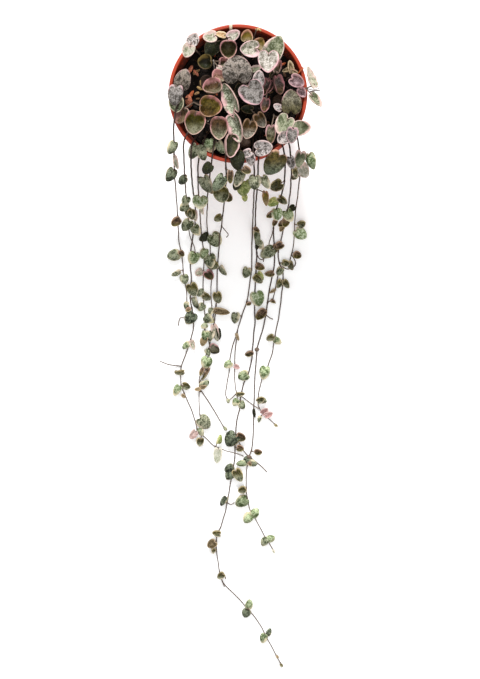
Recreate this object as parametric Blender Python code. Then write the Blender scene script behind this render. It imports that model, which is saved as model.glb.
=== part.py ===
"""A potted, variegated string of hearts: nursery pot, soil, corms, crown leaves and trailing vines.

Tables and dimensions are in millimetres, and every mesh is in metres. +Z is up, +Y is the back.
The pot stands on Z = 0 with the middle of its base at the origin. The vines pass over the front
of the rim, arch down to the surface that the pot stands on, and lie along it towards -Y.
"""

import math

import bmesh
import bpy
from mathutils import Matrix, Vector

MM = 0.001

# Pot: a thin-walled, tapered plastic nursery pot with a stepped collar and a rolled lip.
POT_HEIGHT = 90.0
RIM_RADIUS = 52.5
BASE_RADIUS = 38.0
WALL = 1.2
FLOOR_THICKNESS = 1.6
LIP_WIDTH = 2.7
LIP_DEPTH = 2.4
LIP_OVERHANG = 0.8
COLLAR_HEIGHT = 11.0
COLLAR_STEP = 1.4
POT_SEGMENTS = 48
DRAIN_HOLES = 8
DRAIN_RADIUS = 3.0
DRAIN_CIRCLE = 28.0

# Soil: fills the pot to a little below the rim, with a low, uneven mound.
GAP = 0.3
SOIL_TOP = 76.0
SOIL_MOUND = 3.0
SOIL_ROUGHNESS = 0.7
SOIL_SINK = 1.6
SOIL_FOOT_BEVEL = 2.4
SOIL_RINGS = 5
SOIL_SEGMENTS = 32

# Stems, petioles and leaves.
STEM_RADIUS = 0.68
BRANCH_RADIUS = 0.5
TIP_RADIUS = 0.42
STEM_STEP = 9.0
PLACING_STEP = 1.5
OVER_RIM = 92.6
STEM_LIES = 1.0
LEAF_ABOVE = 0.45
LEAF_BELOW = 1.05
LEAF_MIDDLE = 0.1
PETIOLE_RADIUS = 0.45
PETIOLE_REACH = 0.28
PETIOLE_UNDER = 0.15
KNOT_RADIUS = 1.7
KNOT_LIFT = 0.9
LEAF_OVER_STEM = 1.5
FOOT_CLEARANCE = 1.2

# Half a leaf's outline as (across, along), both as shares: notch, lobe, side, shoulder, tip.
HEART = [(0, 0.0), (0.26, -0.13), (0.49, 0.08), (0.45, 0.42), (0.24, 0.78), (0, 1.0)]

# Corms: (x, y, radius). They sit half sunk in the soil, squat and with a dimple on top.
CORM_SQUAT = 0.82
CORM_DIMPLE = 0.25
CORM_RISE = 0.1
CORMS = [(-24, 10, 6.0), (31, -4, 5.0), (6, -36, 4.5)]

# Vines. "route" runs from the soil to the tip: (x, y, z) up to the rim and wherever the height
# is set by hand, and (x, y) where it follows from the arch: the stem leaves the rim at y =
# "rim", lands at y = "landing", and lies on the surface from there.
# "branches" are side stems, (x, y) or (x, y, z). "knots" are the small aerial tubers at a node.
# "leaves" are (x, y, length, width, heading, pitch, roll): the leaf's middle, its size, and its
# pose in degrees. Heading is where the tip points, clockwise from +Y as seen from above. Pitch
# lifts the tip, and roll lowers the right-hand side.
VINES = {
    "vine_01": {
        "rim": -22, "landing": -104,
        "route": [(-38, -2, 77.8), (-43.4, -6, 89), (-47, -14, 92.8), (-48.4, -25), (-48.6, -36),
                  (-48.9, -49), (-49, -62), (-48.4, -76), (-48.2, -87), (-47.9, -98),
                  (-47.3, -107), (-45, -118), (-44, -131), (-42.5, -141), (-41.4, -147),
                  (-41, -154)],
        "leaves": [(-49.9, -41.5, 11, 8.5, 204, -6, -18), (-46.4, -51, 11, 7, 170, -10, 58),
                   (-51.4, -59.5, 11.5, 9.5, 207, 12, -20), (-51.2, -93, 9, 8, 232, -12, 20),
                   (-52.1, -118, 10.5, 10.5, 252, 10, 12), (-49.2, -134, 8.5, 6.5, 238, 10, -52),
                   (-43, -137.6, 8, 8, 168, 12, 6), (-41.6, -158.6, 6, 5, 186, 8, 14)],
    },
    "vine_02": {
        "rim": -35, "landing": -105,
        "route": [(-30, -18, 77.8), (-35, -26, 89), (-40.4, -35, 92.8), (-41, -48), (-40.8, -64),
                  (-40.4, -77), (-39.6, -90), (-39.1, -99, 6.4), (-37.4, -106, 4.4),
                  (-34.6, -113, 2.8), (-34.6, -118, 2.6)],
        "leaves": [(-44.2, -63, 9, 8.5, 240, -24, 26), (-42.4, -82, 8.5, 8, 222, 14, -20),
                   (-38.4, -86.4, 8.4, 6.6, 170, -8, 14), (-43.2, -94, 10, 9.5, 216, 10, 14),
                   (-36.6, -121.6, 10, 9, 192, 9, 8)],
    },
    "vine_03": {
        "rim": -40, "landing": -103,
        "route": [(-26, -22, 77.8), (-31, -31, 89.5), (-34.8, -40, 97.4), (-35.4, -48, 97),
                  (-35.5, -54, 85), (-35.3, -66), (-33.8, -80), (-34.3, -93), (-36.2, -104),
                  (-37.6, -113), (-38.2, -126), (-37.4, -138), (-38.2, -152), (-36.6, -163), (-35.6, -173),
                  (-36.9, -182), (-40.9, -195), (-45.4, -207), (-45.9, -219), (-44.2, -226),
                  (-38.5, -239), (-34.5, -250), (-32.4, -259), (-26.5, -264), (-19.3, -270.5),
                  (-10.5, -274.4, 2), (-5, -275.8, 3), (1, -278, 1.6)],
        "branches": [[(-45.4, -207), (-54.5, -206, 2), (-62.5, -203, 3)]],
        "leaves": [(-33.4, -98.8, 9.5, 8.6, 150, 8, 10), (-35.6, -146.6, 11, 10, 158, 8, 8),
                   (-34.6, -157, 10, 7, 164, 6, 46), (-38.8, -168.6, 11, 11, 214, 9, 6),
                   (-42.2, -190.6, 5.5, 5, 238, 10, 18), (-35.4, -191, 5.5, 5, 122, 10, 18),
                   (-48.8, -211.8, 8.5, 6.5, 262, 6, -34), (-49.4, -226.4, 9.6, 6.8, 206, 10, 12),
                   (-40.6, -222.6, 7, 7, 108, 12, 28), (-36.4, -262, 8, 6.4, 216, 12, -20),
                   (-29.8, -268.4, 7, 7, 188, 9, 18), (-15.2, -265.6, 8, 6.5, 12, 10, 54),
                   (-16.2, -279, 12, 7.8, 186, 8, 20)],
    },
    "vine_04": {
        "rim": -45, "landing": -106,
        "route": [(-21, -24, 77.8), (-25, -34, 90), (-28.8, -45, 92), (-30.4, -58), (-30.6, -72),
                  (-30.2, -83), (-29.8, -94), (-29, -104), (-27.7, -115), (-27.4, -128),
                  (-28, -140), (-27.6, -152), (-26.8, -165), (-26.6, -178)],
        "leaves": [(-33.4, -43.9, 11.2, 8.2, 204, 4, 0), (-26.6, -45.8, 12, 8.8, 158, 4, 14),
                   (-26, -66.5, 13, 10, 152, -10, 10), (-30.4, -79.4, 10, 12, 186, 10, 0),
                   (-27.7, -117.2, 9, 7.4, 200, 10, 10), (-31.4, -132.8, 7, 7, 236, 10, 10),
                   (-30.2, -148.4, 7.2, 7.2, 240, 10, 14), (-24.6, -151.8, 7, 7, 128, -8, 24),
                   (-29.8, -160, 7, 7, 222, 10, 10), (-23.6, -169.6, 8, 8, 124, 10, 8),
                   (-26.4, -182.6, 8.5, 8, 182, 11, 8)],
    },
    "vine_05": {
        "rim": -49, "landing": -101,
        "route": [(-15, -22, 77.8), (-17.5, -34, 90.5), (-19.4, -49, 92.8), (-21.6, -61), (-23.2, -71),
                  (-24.2, -82), (-24.9, -92), (-24.2, -101), (-22.4, -112), (-22, -122),
                  (-20.8, -132), (-21.8, -146), (-21.6, -153), (-21, -159)],
        "leaves": [(-20.4, -38.6, 11, 12.4, 172, 8, -14), (-13.6, -41.4, 10.5, 8, 158, 10, 40),
                   (-25, -56.4, 8, 8.5, 238, -24, 12), (-18, -106.2, 12.5, 13, 148, 9, -6),
                   (-18.8, -126, 9, 9, 108, 10, 14), (-22.8, -137.2, 8, 7.4, 188, -9, 10),
                   (-21.8, -163.4, 5.5, 5, 190, 10, 10)],
    },
    "vine_06": {
        "rim": -51, "landing": -107,
        "route": [(-6, -30, 77.8), (-8.6, -41, 91), (-9.4, -51, 93), (-8.9, -62), (-10.5, -77),
                  (-11.8, -86), (-13.1, -95), (-14.4, -101, 7), (-15, -110, 5),
                  (-15.8, -119, 1.6), (-16.4, -127), (-16.8, -138), (-17, -148), (-17.6, -159),
                  (-18.4, -167), (-19.4, -174), (-22.2, -187), (-24.6, -203), (-26.6, -213),
                  (-30.3, -219), (-30.9, -225), (-31.3, -234), (-30.6, -246)],
        "branches": [[(-30.9, -225), (-28, -229), (-19.5, -242), (-11.6, -255.5)]],
        "leaves": [(-14.6, -67.6, 14.5, 10, 214, 8, -10), (-7.2, -77, 6.5, 6.2, 132, -20, 16),
                   (-16.8, -90, 7, 7, 240, 16, -26), (-12.4, -131.4, 9, 7, 148, 8, 48),
                   (-14.8, -153.6, 8, 8, 138, -8, 10), (-11.4, -165.4, 13.5, 7.2, 96, 6, 30),
                   (-17.4, -181.4, 13.6, 7.8, 166, 8, 18), (-18.6, -194, 9, 8.6, 122, -8, 12),
                   (-27.8, -205, 9.6, 9, 206, 9, -10), (-26.2, -221.4, 8.5, 6.6, 62, 10, 26),
                   (-26.6, -251.6, 11, 10, 140, 9, 8), (-9.8, -257.4, 4.5, 4, 130, 8, 10)],
    },
    "vine_07": {
        "rim": -50, "landing": -108,
        "route": [(11, -28, 77.8), (11.4, -40, 90.5), (11.8, -50, 92.8), (12.2, -62), (11.8, -75),
                  (11.3, -86), (10.8, -98), (10.4, -107), (10.7, -116), (10.9, -126),
                  (10, -136), (8.6, -146), (7.8, -152), (5, -161), (2.3, -169),
                  (-0.4, -178), (-4.9, -193), (-6.5, -201), (-7.3, -212), (-10, -228),
                  (-8.4, -234)],
        "branches": [[(-0.4, -178), (-1.2, -186), (-2.6, -197), (-2.8, -207), (-2.8, -216),
                      (-2, -225), (-0.6, -230)]],
        "leaves": [(12.6, -67.4, 11.4, 10.4, 182, -8, 6), (6.8, -133, 9, 7, 206, 8, -44),
                   (-1.6, -168.6, 8.8, 8, 256, 10, 10), (-10, -205.8, 7, 7, 236, 10, 14),
                   (0.4, -208, 6.5, 5.6, 118, 11, 22), (-6.8, -238.4, 6.5, 6, 162, 11, 10)],
    },
    "vine_08": {
        "rim": -50, "landing": -106,
        "route": [(17, -30, 77.8), (16, -41, 90), (15.6, -50, 93), (16.2, -62), (16, -75),
                  (15.6, -86), (15.4, -98), (15.6, -108), (15.3, -120), (14.3, -131),
                  (13.4, -147), (13.2, -161), (13.4, -172), (12.4, -182), (11.5, -193),
                  (10.9, -202), (8.8, -211), (4.1, -222), (2.2, -231), (0.9, -242),
                  (-1.2, -252), (-1.9, -261), (-2.6, -270), (-2.5, -277), (-3.3, -285),
                  (-4.4, -290), (-5.7, -299), (-7.7, -310), (-8.9, -316), (-10.5, -324),
                  (-13.7, -335), (-16.4, -340.5), (-17.4, -347), (-17, -356), (-15, -371),
                  (-12.4, -379), (-8.9, -383.5), (-0.1, -392.4), (5.8, -399), (12, -406),
                  (18.4, -415), (21.4, -421), (25, -428), (29, -435.5), (31.6, -440.5),
                  (34, -444.5)],
        "leaves": [(20.8, -67, 11.6, 7.6, 150, 8, 14), (17.6, -110.6, 7, 7, 138, -8, 12),
                   (18.6, -127, 8, 7, 112, 8, 28), (17.4, -135.6, 8, 6.6, 144, 10, 14),
                   (16.2, -154.2, 12, 12, 158, 8, 6), (7.8, -196, 7.5, 6, 254, 8, -44),
                   (3.8, -214.6, 9, 9, 250, 9, 8), (5.4, -238.8, 7, 6.5, 112, 10, 12),
                   (-5.8, -265.6, 13, 13.6, 214, 7, 6), (2.6, -263.6, 8.4, 8, 116, -8, 12),
                   (2.4, -272.6, 6, 6, 106, 10, 14), (-8.2, -286.6, 7, 7, 246, 10, 12),
                   (-9.2, -294.4, 9, 9, 232, 9, 8), (0.2, -295.4, 9.5, 9.5, 118, 9, -8),
                   (-12.4, -314.6, 6.5, 6, 244, 10, 22), (-20.4, -339, 7, 7, 284, 9, 16),
                   (-21.6, -349.8, 8, 8, 236, 11, 8), (-11.4, -375, 8, 8, 96, 10, 8),
                   (9.6, -396, 8.5, 8, 52, 10, 8), (4, -404.6, 8.5, 8, 204, 10, -8),
                   (18, -425.2, 8, 7.6, 216, 10, 12), (26.4, -418.6, 8, 7.6, 48, 10, 8),
                   (36, -447.6, 6, 4.4, 146, 8, 12)],
    },
    "vine_09": {
        "rim": -41, "landing": -106,
        "route": [(24, -24, 77.8), (29.5, -31, 89.5), (34, -41, 93.4), (35.6, -53), (35.6, -64),
                  (34, -72), (31.4, -79), (29.4, -88), (28.1, -97), (28.6, -107),
                  (29.4, -117), (28.8, -127), (27.2, -135), (25.2, -145), (23.7, -155),
                  (22.4, -165), (20.4, -175), (17.6, -184), (15.4, -192), (14.8, -199),
                  (13.8, -211), (12.9, -227), (12.4, -243), (12.2, -258), (11.1, -272),
                  (8.8, -279), (7, -288), (6.6, -298), (7, -310), (9.9, -323),
                  (14.1, -330), (21.4, -343), (27.2, -352.5)],
        "branches": [[(8.8, -279), (17.5, -286), (23.1, -291.6)]],
        "knots": [(15.4, -194), (8.4, -280)],
        "leaves": [(26.2, -54.6, 20, 16.5, 216, -16, 172),
                   (29.4, -68.4, 10.5, 10.5, 244, -10, 12), (26, -79, 7, 7, 250, 10, 10),
                   (35.6, -77.6, 9, 6.5, 128, 14, 18), (24.6, -86.4, 8, 6.4, 238, -10, -46),
                   (30.4, -90, 9.4, 9, 166, 6, 8), (24.2, -117, 10.5, 10.5, 254, 8, 10),
                   (31, -113, 7, 5.5, 164, 8, 58), (24.4, -132.2, 8, 6.4, 258, -6, -38),
                   (18.2, -168, 8, 7.4, 238, -8, 14), (16.8, -275, 6.5, 5.6, 96, 10, 26),
                   (12.2, -284.8, 6.5, 6, 112, 10, 12), (2.6, -306.6, 7, 7, 252, 9, 12),
                   (3.2, -315.6, 10.5, 10.5, 232, 9, 8), (6.8, -328.6, 8, 8, 218, 10, 8),
                   (14.6, -322.8, 8, 8, 58, 10, 8), (19, -347.8, 7, 6.5, 218, 10, 12),
                   (27.6, -343.4, 7, 6.5, 62, 10, 8), (28.8, -355.8, 5, 4, 160, 8, 10)],
    },
    "vine_10": {
        "rim": -38, "landing": -110,
        "route": [(28, -20, 77.8), (34, -29, 90), (38.2, -38, 93.2), (40.4, -52), (40.6, -66),
                  (39.9, -77), (38, -88), (36.4, -98), (35.2, -108), (34.6, -119),
                  (34.8, -127), (36.2, -134), (35, -146), (33.5, -161), (31.1, -175),
                  (29.3, -184), (27.3, -196), (24.2, -206), (19.8, -215.5), (17.5, -223),
                  (16.2, -232), (16.2, -239), (21, -246), (25.6, -250), (29.6, -253.5)],
        "branches": [[(34.8, -127), (32, -134), (29.9, -145), (28, -153)]],
        "leaves": [(40, -52.4, 10, 7, 166, 10, 10),
                   (41.2, -88.2, 9.4, 9, 116, 10, 10), (34.4, -94.6, 6, 5.6, 238, -10, 16),
                   (38.4, -124.4, 6.4, 6.4, 108, -8, 20), (32.4, -141.6, 8, 5.4, 206, 8, -14),
                   (39, -141.8, 8, 5.6, 146, 8, 14), (25.2, -185, 7, 6, 242, 10, 10),
                   (31.6, -187.2, 7, 6, 124, 10, 10), (20.6, -212.4, 11.5, 9.6, 192, 9, 8),
                   (20, -234.6, 6.5, 6, 110, 10, 16), (21.6, -242.4, 7, 6, 48, 10, 12),
                   (31.6, -255.4, 4.5, 3.6, 130, 8, 10)],
    },
    "vine_11": {
        "rim": -34, "landing": -105,
        "route": [(35.5, -12, 77.8), (40.6, -21, 89), (44.4, -32, 93), (46.8, -46), (47.3, -61),
                  (46.4, -74), (45.4, -84), (45.2, -93), (44.7, -104), (43.6, -114),
                  (41.8, -121)],
        "leaves": [(45.8, -49.4, 11.5, 7.4, 192, -8, -14), (50, -58, 10.4, 9.6, 148, 12, 8),
                   (54.2, -51, 14, 8, 163, 8, 36), (43.4, -61, 7, 5, 218, 10, 14),
                   (41.8, -82.6, 6, 6, 238, -10, 12), (50.6, -93.4, 7, 7, 62, -10, 16),
                   (50.2, -101.6, 11, 10.6, 138, 9, 8), (47.8, -117.8, 7, 7, 122, -8, 16),
                   (43.4, -127, 8, 6.6, 162, 9, 44)],
    },
    "vine_12": {
        "rim": -50, "landing": -106,
        "route": [(1.2, -31, 77.8), (1.8, -41, 89.6), (2.2, -50.5, 92.6), (2.6, -58), (3.4, -66),
                  (4.6, -73)],
        "leaves": [(0.6, -64.6, 13.5, 8.6, 202, 6, -8), (7, -58, 7, 6.4, 122, -10, 12),
                   (5, -77, 5.5, 5, 172, 8, 6)],
    },
}

# Sprigs of the crown: short shoots from the soil that carry the leaves over the pot's mouth.
# "foot" is where the shoot leaves the soil, "node" where its leaves part, and "twig" a bare,
# dry end. Leaves are (x, y, z, length, width, heading, pitch, roll).
SPRIGS = {
    "crown_01": {"foot": (-37, 6), "node": (-44.6, 5.4, 94), "leaves": [
        (-42.7, 11.6, 97, 15, 13, 14, 8, -12), (-47.6, -2.6, 97, 15, 12.5, 186, 5, 8)]},
    "crown_02": {"foot": (-9, 29), "node": (-8.6, 41, 88), "leaves": [
        (-2.6, 44, 93, 10, 8.5, 62, 10, 0), (-7.4, 33.4, 97, 15, 15, 178, -25, 0),
        (-13.6, 44.2, 91, 8, 5.5, 285, 5, 20)]},
    "crown_03": {"foot": (-17, 33), "node": (-17, 39.4, 88), "leaves": [
        (-22, 42.2, 94, 10, 9.5, 262, 6, 0)]},
    "crown_04": {"foot": (-27, 29), "node": (-36, 36.4, 92.4), "leaves": [
        (-33.2, 41, 95, 9.5, 9.5, 30, 6, 10), (-38, 31, 95, 10.5, 10, 205, 6, -8)]},
    "crown_05": {"foot": (-17.6, 15), "node": (-18.4, 25, 86), "leaves": [
        (-24, 23.4, 86, 10, 10, 265, -35, 0), (-12.2, 24, 85.5, 8, 8, 95, -35, 0),
        (-13.4, 18.8, 90, 5, 4, 130, 20, 0)]},
    "crown_06": {"foot": (-15, 8), "node": (-11.6, 5.6, 88), "leaves": [
        (-15, 12.6, 92, 11.5, 11, 335, -12, 0), (-20.4, 3.6, 96, 15, 14.5, 262, 10, 22)]},
    "crown_07": {"foot": (2, 8), "node": (4.6, 8.6, 93), "leaves": [
        (0, 19.3, 104, 21, 23.5, -4, 4, 4), (10.4, -1.4, 99, 18, 19, 150, 12, 0)]},
    "crown_08": {"foot": (15, 6), "node": (15.6, 5.4, 85), "leaves": [
        (15.6, 12.4, 89, 11.5, 9.5, 5, 8, 10)]},
    "crown_09": {"foot": (25, 22), "node": (24.6, 28.4, 92), "leaves": [
        (23, 22.6, 101, 16, 16.5, 182, 12, 4), (28, 35.4, 97, 18, 15, 32, 6, -8)]},
    "crown_10": {"foot": (11, 27), "node": (14, 33, 86), "leaves": [
        (7.6, 33.2, 93, 14, 13.5, 268, 10, -6), (15.8, 38, 89, 9.5, 10, 40, -10, 10)],
        "twig": [(12.4, 42, 90), (14.2, 49, 93)]},
    "crown_11": {"foot": (4, 33), "node": (4.6, 38, 86), "leaves": [
        (6.4, 43.6, 88, 10, 10, 12, -12, 10)]},
    "crown_12": {"foot": (-3, -12), "node": (-2, -12.6, 93), "leaves": [
        (-6.2, -0.6, 97, 23, 12, 338, 4, -40), (-0.4, -25.6, 97, 22, 13, 170, 4, 36)]},
    "crown_13": {"foot": (-30, -6), "node": (-33.6, -6.6, 88), "leaves": [
        (-20.8, -9.4, 95, 17, 17.5, 92, -12, 8), (-41.6, -15.2, 89, 12, 9.5, 222, 10, 40)]},
    "crown_14": {"foot": (-24.6, -15.4), "node": (-26.4, -20.8, 88), "leaves": [
        (-33.8, -25, 97.5, 18, 16.5, 190, 6, -8), (-14, -26.6, 95, 18, 14, 180, -14, 4)]},
    "crown_15": {"foot": (12, -12), "node": (12.6, -15, 84), "leaves": [
        (8.6, -27.6, 92, 15, 11.5, 190, 6, -14), (18.4, -19.4, 87.6, 11.5, 9, 150, -8, 16)]},
    "crown_16": {"foot": (-1, -23), "node": (-4.8, -35.4, 88), "leaves": [
        (-7.2, -41.2, 98, 17, 11.5, 190, 4, -38), (-0.4, -50.2, 96.8, 14, 11.5, 178, -8, 4)]},
    "crown_17": {"foot": (12.8, -35.4), "node": (13.8, -44.4, 88), "leaves": [
        (20.2, -41.6, 96.6, 13, 12.5, 80, 6, 4), (5.8, -46.2, 94.4, 8, 7, 246, 10, 10)]},
    "crown_18": {"foot": (27, -14), "node": (27.2, -16.6, 86), "leaves": [
        (34, -23.6, 97, 15, 13.5, 126, 8, 4), (24.6, -29.4, 90, 12, 8, 190, 6, 10)]},
    "crown_19": {"foot": (38.4, -6.6), "node": (38.4, -13.4, 92), "leaves": [
        (40.4, -5, 97, 18.5, 16, 2, -6, 4), (29.4, -10.4, 90.5, 7, 6, 300, 8, 10)]},
    "crown_20": {"foot": (35.6, -19.6), "node": (39.2, -31, 94), "leaves": [
        (49, -27, 97, 13, 12.5, 82, 4, -8), (40.6, -33.6, 102, 11.5, 9.5, 188, 6, 4),
        (33.4, -36.4, 98, 11.5, 11, 238, 14, 10)]},
    "crown_21": {"foot": (23, 12), "node": (24.4, 13.6, 82), "leaves": [
        (29.6, 7.6, 88, 13, 9, 162, -10, -50), (22.8, 4.4, 84.4, 13, 9, 196, -8, 40)]},
    "crown_22": {"foot": (36, 12), "node": (41, 13.4, 87), "leaves": [
        (45.6, 8.4, 92.6, 11.5, 10.5, 120, 6, 10), (38.8, 20.6, 92, 9.5, 5.5, 350, 20, 30)]},
    "crown_23": {"foot": (42, 2), "node": (51.2, 3.6, 93.4), "leaves": [
        (53.4, 12.8, 96, 17, 6.5, 352, 6, 62), (58.4, -4.6, 94, 13.5, 7, 138, 4, -30)],
        "twig": [(56, 2.2, 94.6), (61.4, 3.2, 95.4)]},
}

COLOURS = {
    "terracotta_plastic": ((0.50, 0.11, 0.045, 1), 0.42),
    "soil": ((0.022, 0.014, 0.010, 1), 0.95),
    "corm": ((0.33, 0.22, 0.13, 1), 0.80),
    "crown_leaf": ((0.42, 0.45, 0.38, 1), 0.45),
    "vine": ((0.17, 0.25, 0.12, 1), 0.50),
}


def clear_scene():
    for obj in list(bpy.data.objects):
        bpy.data.objects.remove(obj)


def material(name):
    colour, roughness = COLOURS[name]
    made = bpy.data.materials.get(name)
    if made is None:
        made = bpy.data.materials.new(name)
        made.use_nodes = True
        shader = made.node_tree.nodes["Principled BSDF"]
        shader.inputs["Base Color"].default_value = colour
        shader.inputs["Roughness"].default_value = roughness
        shader.inputs["Metallic"].default_value = 0.0
    return made


def add_object(name, mesh, material_name):
    obj = bpy.data.objects.new(name, mesh)
    obj.data.materials.append(material(material_name))
    bpy.context.scene.collection.objects.link(obj)
    return obj


def hide_helper(obj):
    obj.hide_render = True
    obj.display_type = "WIRE"


def mesh_from(bm, name):
    bmesh.ops.recalc_face_normals(bm, faces=bm.faces)
    mesh = bpy.data.meshes.new(name)
    bm.to_mesh(mesh)
    bm.free()
    return mesh


# --- Pot ----------------------------------------------------------------------------------------


def pot_profile():
    """The wall's section as (radius, height), once round: outside going up, inside going down."""
    collar_foot = POT_HEIGHT - COLLAR_HEIGHT
    rise = collar_foot / POT_HEIGHT
    wall_top = BASE_RADIUS + (RIM_RADIUS - COLLAR_STEP - LIP_OVERHANG - BASE_RADIUS) * rise
    collar_top = RIM_RADIUS - LIP_OVERHANG
    inner_rim = RIM_RADIUS - LIP_WIDTH
    outside = [
        (0, 0),
        (BASE_RADIUS - 1.2, 0),
        (BASE_RADIUS, 1.2),
        (wall_top, collar_foot - 0.8),
        (wall_top + COLLAR_STEP, collar_foot),
        (collar_top, POT_HEIGHT - LIP_DEPTH),
        (RIM_RADIUS, POT_HEIGHT - LIP_DEPTH + 0.5),
        (RIM_RADIUS, POT_HEIGHT - 0.7),
        (RIM_RADIUS - 0.8, POT_HEIGHT),
    ]
    inside = [
        (inner_rim + 0.6, POT_HEIGHT),
        (inner_rim, POT_HEIGHT - 0.8),
        (wall_top + COLLAR_STEP - WALL, collar_foot + 1.2),
        (wall_top - WALL, collar_foot - 0.6),
        (BASE_RADIUS - WALL, FLOOR_THICKNESS + 1.4),
        (BASE_RADIUS - WALL - 1.4, FLOOR_THICKNESS),
        (0, FLOOR_THICKNESS),
    ]
    return outside, inside


def turned_mesh(profile, segments, name):
    """A solid of revolution about Z from a profile that starts and ends on the axis."""
    bm = bmesh.new()
    points = [bm.verts.new((radius * MM, 0, height * MM)) for radius, height in profile]
    edges = [bm.edges.new(pair) for pair in zip(points, points[1:])]
    bmesh.ops.spin(bm, geom=points + edges, axis=(0, 0, 1), cent=(0, 0, 0), steps=segments,
                   angle=2 * math.pi, use_merge=True)
    bmesh.ops.remove_doubles(bm, verts=bm.verts, dist=1e-6)
    return mesh_from(bm, name)


def build_pot():
    outside, inside = pot_profile()
    pot = add_object("pot", turned_mesh(outside + inside, POT_SEGMENTS, "pot"),
                     "terracotta_plastic")
    for number in range(DRAIN_HOLES):
        angle = 2 * math.pi * (number + 0.5) / DRAIN_HOLES
        bm = bmesh.new()
        bmesh.ops.create_cone(bm, cap_ends=True, segments=12, radius1=DRAIN_RADIUS * MM,
                              radius2=DRAIN_RADIUS * MM, depth=4 * FLOOR_THICKNESS * MM)
        hole = add_object(f"drain_cutter_{number + 1}", mesh_from(bm, "drain_cutter"),
                          "terracotta_plastic")
        hole.location = Vector((math.cos(angle), math.sin(angle), 0)) * DRAIN_CIRCLE * MM
        hide_helper(hole)
        cut = pot.modifiers.new(f"drain_{number + 1}", "BOOLEAN")
        cut.operation = "DIFFERENCE"
        cut.object = hole
    pot.data.shade_smooth()
    pot.data.set_sharp_from_angle(angle=math.radians(35))


# --- Soil and corms -----------------------------------------------------------------------------


def soil_height(x, y):
    """The soil's top: a low mound towards the middle, with soft lumps."""
    reach = math.hypot(x, y) / RIM_RADIUS
    lumps = math.sin(0.31 * x + 1.3) * math.cos(0.27 * y - 0.4) + 0.5 * math.sin(0.6 * (x + y))
    return SOIL_TOP + SOIL_MOUND * (1 - reach * reach) + SOIL_ROUGHNESS * lumps - SOIL_SINK


def soil_radius(height):
    """The radius that leaves the gap to the pot's inner wall at this height."""
    _, inside = pot_profile()
    top_radius, top_height = inside[3]
    low_radius, low_height = inside[4]
    share = (height - low_height) / (top_height - low_height)
    return low_radius + (top_radius - low_radius) * share - GAP


def build_soil():
    bm = bmesh.new()
    angles = [2 * math.pi * step / SOIL_SEGMENTS for step in range(SOIL_SEGMENTS)]
    bottom = FLOOR_THICKNESS + GAP
    foot = soil_radius(bottom + SOIL_FOOT_BEVEL)
    rings = []
    for radius, height in ((foot - SOIL_FOOT_BEVEL, bottom), (foot, bottom + SOIL_FOOT_BEVEL)):
        rings.append([bm.verts.new((radius * math.cos(a) * MM, radius * math.sin(a) * MM,
                                    height * MM)) for a in angles])
    edge = soil_radius(SOIL_TOP - SOIL_MOUND)
    for ring in range(SOIL_RINGS):
        radius = edge * (1 - ring / SOIL_RINGS)
        rings.append([])
        for a in angles:
            x, y = radius * math.cos(a), radius * math.sin(a)
            rings[-1].append(bm.verts.new((x * MM, y * MM, soil_height(x, y) * MM)))
    bm.faces.new(rings[0])
    for low, high in zip(rings, rings[1:]):
        for step in range(SOIL_SEGMENTS):
            after = (step + 1) % SOIL_SEGMENTS
            bm.faces.new((low[step], low[after], high[after], high[step]))
    middle = bm.verts.new((0, 0, soil_height(0, 0) * MM))
    for step in range(SOIL_SEGMENTS):
        bm.faces.new((rings[-1][step], rings[-1][(step + 1) % SOIL_SEGMENTS], middle))
    return add_object("soil", mesh_from(bm, "soil"), "soil")


def corm_mesh(radius, name):
    """A corm: a slightly squat ball with a shallow dimple on top."""
    bm = bmesh.new()
    bmesh.ops.create_icosphere(bm, subdivisions=2, radius=radius * MM)
    for vert in bm.verts:
        share = vert.co.z / (radius * MM)
        vert.co.z *= CORM_SQUAT - CORM_DIMPLE * max(share, 0) ** 6
    return mesh_from(bm, name)


def build_corms(soil):
    """Each corm sits in a pocket that follows it, GAP wider all round."""
    for number, (x, y, radius) in enumerate(CORMS, 1):
        place = Vector((x, y, soil_height(x, y) + CORM_RISE * radius)) * MM
        corm = add_object(f"corm_{number}", corm_mesh(radius, "corm"), "corm")
        corm.location = place
        corm.data.shade_smooth()
        pocket = add_object(f"corm_pocket_{number}", corm_mesh(radius + GAP, "pocket"), "soil")
        pocket.location = place
        hide_helper(pocket)
        cut = soil.modifiers.new(f"pocket_{number}", "BOOLEAN")
        cut.operation = "DIFFERENCE"
        cut.object = pocket


# --- Stems and leaves ---------------------------------------------------------------------------


def smooth_route(points, step):
    """Points about step apart on a Catmull-Rom curve through the given ones."""
    points = [Vector(p) for p in points]
    ends = [points[0] * 2 - points[1], *points, points[-1] * 2 - points[-2]]
    route = []
    for before, start, end, after in zip(ends, ends[1:], ends[2:], ends[3:]):
        pieces = max(1, round((end - start).length / step))
        for piece in range(pieces):
            t = piece / pieces
            route.append(0.5 * (2 * start + (end - before) * t
                                + (2 * before - 5 * start + 4 * end - after) * t ** 2
                                + (3 * start - before - 3 * end + after) * t ** 3))
    return [*route, points[-1]]


def tube_mesh(route, first_radius, last_radius):
    """A tapered stem along the route, from a bevelled curve with filled caps."""
    curve = bpy.data.curves.new("stem", "CURVE")
    curve.dimensions = "3D"
    curve.bevel_depth = MM
    curve.bevel_resolution = 0
    curve.use_fill_caps = True
    spline = curve.splines.new("POLY")
    spline.points.add(len(route) - 1)
    for number, (point, place) in enumerate(zip(spline.points, route)):
        share = number / (len(route) - 1)
        point.co = (*(place * MM), 1)
        point.radius = first_radius + (last_radius - first_radius) * share
    holder = bpy.data.objects.new("stem", curve)
    mesh = bpy.data.meshes.new_from_object(holder)
    bpy.data.objects.remove(holder)
    bm = bmesh.new()
    bm.from_mesh(mesh)
    bmesh.ops.remove_doubles(bm, verts=bm.verts, dist=1e-6)
    return mesh_from(bm, "stem")


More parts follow.
